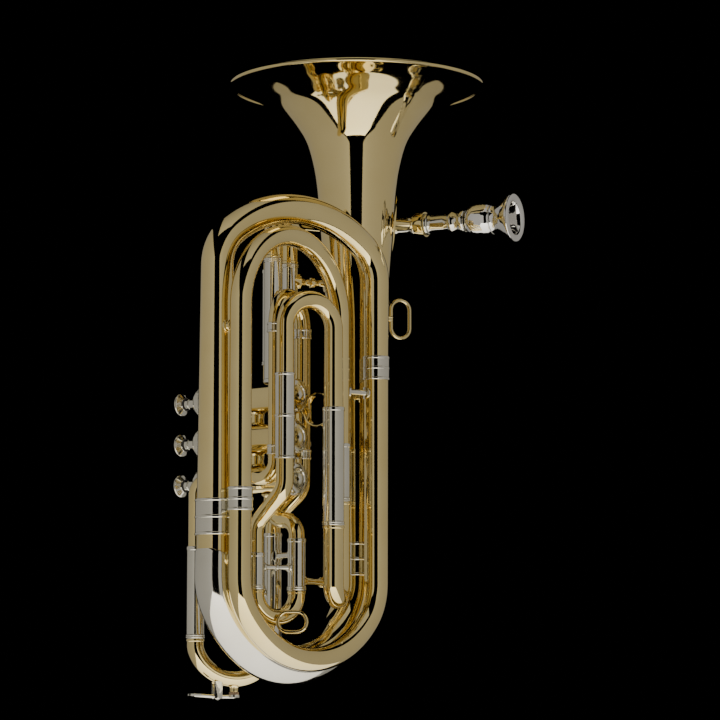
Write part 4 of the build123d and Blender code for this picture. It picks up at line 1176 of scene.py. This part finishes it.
@dataclass
class ValveTubing:
    """Fixed tubing of the valve loops."""

    wall_reach: float = 11.9

    def build(self) -> None:
        """Make each tube with the flange where it meets its valve."""
        port, turn = in_valve(2, 32.0), in_valve(2, 32.0, -25.0)
        tops = (at(LOOP_A, 335.7), at(LOOP_C, 335.7))
        rise = corner_run([port, turn, at(LOOP_A, 210.0), tops[0]], [11.0, 13.0])
        fall = corner_run([tops[1], at(LOOP_C, 203.0), at(LEG_D, 178.0), at(LEG_D, 158.0)], [18.0, 18.0])
        run = joined(rise, arch_run(*tops, 40.0, 12.0), fall)
        self._tube("third_loop_tube", run, port, -VALVE_SIDE, "third_valve_loop")
        port, turn = in_valve(2, 60.0), in_valve(2, 60.0, -28.0)
        run = corner_run([at(LEG_G, 148.0), at(LEG_G, 210.0), turn, port], [12.5, 12.0])
        self._tube("third_return_bend", run, port, -VALVE_SIDE, "third_return_tube")
        port = in_valve(2, 28.0)
        run = corner_run([at(TUBE_E, 154.0), at(TUBE_E, 177.0), at(plan_of(port), 177.0), port],
                         [13.0, 13.0])
        self._tube("exit_bend", run, port, -UP, "valve_exit_tube")
        port, turn = in_valve(0, 36.0), in_valve(0, 36.0, 32.6)
        run = corner_run([port, turn, at(plan_of(turn), 302.0)], [14.0])
        self._tube("first_bend", run, port, VALVE_SIDE, "first_valve_elbow")
        self._ferrules()

    def _tube(self, name: str, run: Run, port: Vector, outward: Vector, node: str) -> None:
        """Bent tube, cut back to the casing's wall at one end, with its flange.

        Args:
            name: Name of the piece.
            run: Its centre line, one end of which is the port.
            port: Middle of the valve, where the tube points.
            outward: Direction from the valve to the flange.
            node: CAD node it stands for.
        """
        kept = list(run)
        end, inner = (0, 1) if (run[0][0] - port).length < 0.5 else (-1, -2)
        way = (run[inner][0] - run[end][0]).normalized()
        kept[end] = (run[end][0] + way * self.wall_reach, run[end][1])
        shell = Shell().tube(divided(kept), [(0.0, TUBE)])
        self.flange(shell, port, outward)
        shell.piece(name, Slot.BRASS, node)

    @staticmethod
    def flange(shell: Shell, port: Vector, outward: Vector) -> None:
        """Solder flange where a tube meets its casing.

        Args:
            shell: Shell to add it to.
            port: Middle of the valve.
            outward: Direction from there to the flange.
        """
        shell.turned(port, outward, [(11.4, TUBE - 0.2), (11.4, TUBE + 2.0), (12.9, TUBE + 1.5),
                                     (13.8, TUBE + 0.6), (14.6, TUBE - 0.2)], sides=64, soft=0.3)

    @staticmethod
    def _ferrules() -> None:
        """Nickel sleeve on the third branch and small ferrules on the third loop."""
        shell = Shell().turned(at(TUBE_B, 223.0), UP, banded(69.0, 7.15, 0.8, 0.5, 3), soft=0.12)
        for plan in (LOOP_A, LOOP_C):
            for low in (228.0, 327.0):
                shell.turned(at(plan, low), UP, banded(8.0, TUBE + 0.05, 0.7, 0.5, 2, 1.8), soft=0.12)
        shell.piece("loop_ferrules", Slot.NICKEL, "branch_ferrules")


# ---------------------------------------------------------------- leadpipe side

@dataclass
class BlowingEnd:
    """Leadpipe, receiver and mouthpiece."""

    pipe_radius: float = 6.25
    rim_radius: float = 20.5

    def build(self) -> None:
        """Make the three pieces."""
        corner = in_valve(0, 50.0, 25.6)
        plan = plan_of(corner)
        points = [in_valve(0, 50.0, 11.9), corner, at(plan, BLOW_HEIGHT), at((-30.0, 44.5), BLOW_HEIGHT),
                  on_blow(-22.0), on_blow(24.0)]
        run = divided(corner_run(points, [12.0, 18.0, 25.0, 22.0]))
        shell = Shell().tube(run, [(0.0, self.pipe_radius)])
        ValveTubing.flange(shell, in_valve(0, 50.0), VALVE_SIDE)
        shell.piece("leadpipe_tube", Slot.BRASS, "leadpipe")
        profile = sleeve_profile(80.0, self.pipe_radius + 0.02, 0.55)
        Shell().turned(at(plan, 308.0), UP, profile, soft=0.12).piece("leadpipe_sleeve", Slot.NICKEL)
        Shell().turned(on_blow(0.0), BLOW_AXIS, [
            (15, 7.0), (15.6, 7.4), (19, 7.6), (21, 7.1), (31, 7.2), (33.5, 7.6), (34.5, 8.8), (36, 9.2),
            (38, 8.6), (40, 8.3), (43, 8.3), (45, 8.6), (47, 9.2), (48.5, 8.8), (49.5, 7.7), (52, 7.3), (64, 7.5),
            (68, 7.9), (69, 9.0), (71, 9.4), (73, 8.7), (74.5, 8.4), (76.5, 8.4), (78, 8.9), (79.5, 9.6),
            (81.5, 9.6), (83, 8.8), (83, 6.3), (60, 5.5), (60, 5.1), (24.5, 5.1), (24.5, 6.3), (15, 6.3)],
            soft=0.5).piece("receiver_tube", Slot.NICKEL, "receiver")
        self._mouthpiece()

    def _mouthpiece(self) -> None:
        """Cup mouthpiece."""
        rim = self.rim_radius
        Shell().turned(on_blow(0.0), BLOW_AXIS, [
            (62, 5.45), (83.2, 6.2), (83.6, 7.6), (84.6, 9.4), (86, 11.2), (87.5, 12.5), (89.5, 13.5), (92, 14.1),
            (95, 14.3), (101, 14.2), (104, 13.7), (106.5, 12.9), (107.4, 12.9), (107.9, 12.3), (109.5, 11.9),
            (111.5, 11.8), (113.5, 12.6), (116, 14.3), (119.5, 16.8), (122, 18.4), (123.6, 19.4),
            (125, rim - 0.35), (126.4, rim), (127.3, rim - 0.6), (127.9, rim - 1.9), (128, rim - 3.2),
            (127.9, rim - 4.4), (127.4, rim - 5.6), (126.3, rim - 6.8), (124, 12.9), (120, 11.8), (115, 10.2),
            (110, 7.8), (106, 5.2), (103.4, 3.6), (102, 3.3), (98, 3.3), (92, 3.5), (62, 4.6)],
            sides=128, soft=0.6).piece("cup_mouthpiece", Slot.SILVER, "mouthpiece", body="mouthpiece_body",
                                       sharp=60.0)


# ---------------------------------------------------------------- braces, rings and small work

@dataclass
class SmallWork:
    """Braces, rings, water key and the inner parts."""

    coil_start: float = 71.9
    coil_length: float = 22.4
    coil_radius: float = 7.0
    coil_wire: float = 0.45
    coil_turns: int = 6
    coil_steps: int = 28
    coil_keep: float = 0.28

    def build(self) -> None:
        """Make the soldered work, the water key, the pistons and their springs."""
        self._branch_posts()
        for node, body, slot in (
                ("bell_branch_posts", "horn", Slot.BRASS), ("stay_rods", "horn", Slot.NICKEL),
                ("bell_stays", "horn", Slot.BRASS), ("leadpipe_bracket", "horn", Slot.BRASS),
                ("thumb_ring", "horn", Slot.BRASS), ("strap_ring", "horn", Slot.BRASS),
                ("water_key_saddle", "third_slide", Slot.NICKEL), ("water_key_lever", "water_key", Slot.NICKEL),
                ("water_key_cork", "water_key", Slot.CORK), ("water_key_spring", "third_slide", Slot.SPRING),
                ("valve_guides", "horn", Slot.GUIDE)):
            self._refined(node, body, slot)
        for valve, name in enumerate(VALVE_NAMES):
            self._refined(f"{name}_piston", f"{name}_piston_body", Slot.PISTON)
            self._coil(valve, name)

    @staticmethod
    def _branch_posts() -> None:
        """Two short turned posts, with round feet, between the left-hand tubes."""
        shell = Shell()
        for height, near, reach in ((325.0, 13.2, 9.0), (142.0, 15.9, 9.3)):
            start, end = at(TUBE_1, height), at(TUBE_2, height)
            far = (end - start).length - reach
            shell.turned(start, end - start, [
                (near - 1.4, 0), (near - 1.4, 5.6), (near + 0.7, 5.2), (near + 1.3, 3.6), ((near + far) / 2, 2.9),
                (far - 1.3, 3.6), (far - 0.7, 5.2), (far + 1.4, 5.6), (far + 1.4, 0)],
                sides=48, closed=False, soft=0.3)
        shell.piece("branch_post_pair", Slot.BRASS, "branch_posts")

    def _coil(self, valve: int, name: str) -> None:
        """Piston spring, a coil round the valve axis.

        Args:
            valve: Number of the valve.
            name: Its name.
        """
        side = VALVE_AXIS.orthogonal().normalized()
        top = VALVE_AXIS.cross(side)
        climb = VALVE_AXIS * (self.coil_length / (self.coil_turns * 2 * pi * self.coil_radius))
        count = self.coil_turns * self.coil_steps
        run: Run = []
        for share in (index / count for index in range(count + 1)):
            angle = 2 * pi * self.coil_turns * share
            centre = in_valve(valve, self.coil_start + self.coil_length * share)
            run.append((centre + around(side, top, angle) * self.coil_radius,
                        (around(top, -side, angle) + climb).normalized()))
        spring = Shell().tube(run, [(0.0, self.coil_wire)], wall=0.0, sides=10).piece(
            f"{name}_coil_spring", Slot.SPRING, f"{name}_piston_spring", sharp=60.0)
        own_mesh(spring)

    @staticmethod
    def _refined(node: str, body: str, slot: Slot) -> None:
        """Piece from a CAD solid, with merged corners, eased edges and a smooth skin.

        Args:
            node: CAD node to refine.
            body: Body it belongs to.
            slot: Finish of the piece.
        """
        shell = Shell()
        shell.mesh.from_mesh(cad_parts[node].data)
        bmesh.ops.remove_doubles(shell.mesh, verts=shell.mesh.verts, dist=0.000002)
        edges = [edge for edge in shell.mesh.edges
                 if len(edge.link_faces) == 2 and edge.calc_face_angle(0.0) > radians(42.0)]
        if edges and "spring" not in node:
            bmesh.ops.bevel(shell.mesh, geom=edges, offset=0.00018, segments=2, profile=0.6, affect="EDGES",
                            clamp_overlap=True)
        shell.piece(f"{node}_work", slot, node, body=body, sharp=35.0, outward=False)


# ---------------------------------------------------------------- studio

@dataclass
class Studio:
    """Floor, lights and camera, in metres."""

    azimuth: float = 38.0
    pitch: float = 7.12
    lens: float = 152.5
    sensor: float = 36.0
    eye: tuple[float, float, float] = (-1.5526, -1.9919, -0.549)
    centre: tuple[float, float, float] = (-0.06, -0.02, -0.22)
    floor_z: float = -0.75
    floor_half: float = 40.0
    glow: Colour = (1.0, 0.965, 0.91)

    def build(self) -> None:
        """Set up the floor, the surroundings, the camera and the soft boxes."""
        material = bpy.data.materials.new("pale floor")
        material.use_nodes = True
        shader = material.node_tree.nodes["Principled BSDF"]
        shader.inputs["Base Color"].default_value = (0.62, 0.61, 0.59, 1.0)
        shader.inputs["Roughness"].default_value = 0.8
        half = self.floor_half
        floor = self._sheet("studio_floor", Vector((0, 0, self.floor_z)), Vector((half, 0, 0)),
                            Vector((0, half, 0)), material)
        floor.visible_glossy = False
        self._world()
        self._camera()
        self._panels()

    @staticmethod
    def _sheet(name: str, place: Vector, run: Vector, rise: Vector,
               material: Material) -> Object:
        """Flat rectangle that belongs to the stage.

        Args:
            name: Name of the sheet.
            place: Its centre.
            run: Half of one side.
            rise: Half of the other side.
            material: Its material.

        Returns:
            The object.
        """
        mesh = bpy.data.meshes.new(name)
        corners = [tuple(place + run * a + rise * b) for a, b in ((-1, -1), (1, -1), (1, 1), (-1, 1))]
        mesh.from_pydata(corners, [], [(0, 1, 2, 3)])
        mesh.materials.append(material)
        sheet = placed(name, mesh)
        return sheet

    @staticmethod
    def _world() -> None:
        """Even light on the floor that neither the camera nor a mirror sees."""
        world = bpy.data.worlds.new("studio")
        world.use_nodes = True
        back = world.node_tree.nodes["Background"]
        back.inputs["Color"].default_value = (0.5, 0.5, 0.49, 1.0)
        back.inputs["Strength"].default_value = 1.1
        sky = world.cycles_visibility
        sky.camera = sky.glossy = sky.transmission = False
        bpy.context.scene.world = world

    def _camera(self) -> None:
        """Camera low at the front, looking slightly up."""
        data = bpy.data.cameras.new("camera")
        data.lens = self.lens
        data.sensor_width = self.sensor
        camera = placed("camera", data)
        camera.location = self.eye
        camera.rotation_euler = (radians(90.0 + self.pitch), 0.0, -radians(self.azimuth))
        bpy.context.scene.camera = camera

    def _panels(self) -> None:
        """Long soft boxes along both sides, one low in front and one overhead."""
        ahead = Vector((sin(radians(self.azimuth)), cos(radians(self.azimuth)), 0.0))
        right = Vector((ahead.y, -ahead.x, 0.0))
        centre = Vector(self.centre)
        for name, side, back, height, length, rise, strength in (
                ("left_box", -0.95, 0.75, -0.15, 2.35, UP * 1.15, 0.54),
                ("right_box", 0.95, 0.75, -0.15, 2.35, UP * 1.15, 0.54),
                ("low_box", 0.0, 0.28, -0.5, 0.55, right * 0.36, 2.6),
                ("top_box", 0.0, 0.2, 1.3, 0.8, right * 0.6, 0.5)):
            place = centre + right * side - ahead * back + UP * height
            self._panel(name, place, -ahead * length, rise, strength)

    def _panel(self, name: str, place: Vector, run: Vector, rise: Vector, strength: float) -> None:
        """One flat soft box that fades towards its far end.

        Args:
            name: Name of the box.
            place: Its centre.
            run: Half its length, towards the camera.
            rise: Half its height.
            strength: Brightness at the near end.
        """
        material = bpy.data.materials.new(name)
        material.use_nodes = True
        tree = material.node_tree
        tree.nodes.clear()
        way = run.normalized()
        middle = place.dot(way)
        spot = tree.nodes.new("ShaderNodeTexCoord").outputs["Object"]
        along = added(tree, "ShaderNodeVectorMath", {1: way}, {0: spot})
        along.operation = "DOT_PRODUCT"
        fade = added(tree, "ShaderNodeMapRange",
                     {"From Min": middle - run.length, "From Max": middle + run.length,
                      "To Min": strength * 0.5, "To Max": strength}, {"Value": along.outputs["Value"]})
        glow = added(tree, "ShaderNodeEmission", {"Color": (*self.glow, 1.0)},
                     {"Strength": fade.outputs["Result"]})
        added(tree, "ShaderNodeOutputMaterial", {}, {"Surface": glow.outputs["Emission"]})
        box = self._sheet(name, place, run, rise, material)
        box.visible_camera = box.visible_diffuse = box.visible_shadow = False


def main() -> None:
    """Build the instrument and its studio."""
    logging.basicConfig(level=logging.INFO, format="%(name)s %(message)s")
    Studio().build()
    for part in (Bell(), ConicalTube(), Slides(), ValveBlock(), ValveTubing(), BlowingEnd(), SmallWork()):
        part.build()
        LOG.info("%s done", type(part).__name__)


if __name__ == "__main__":
    main()
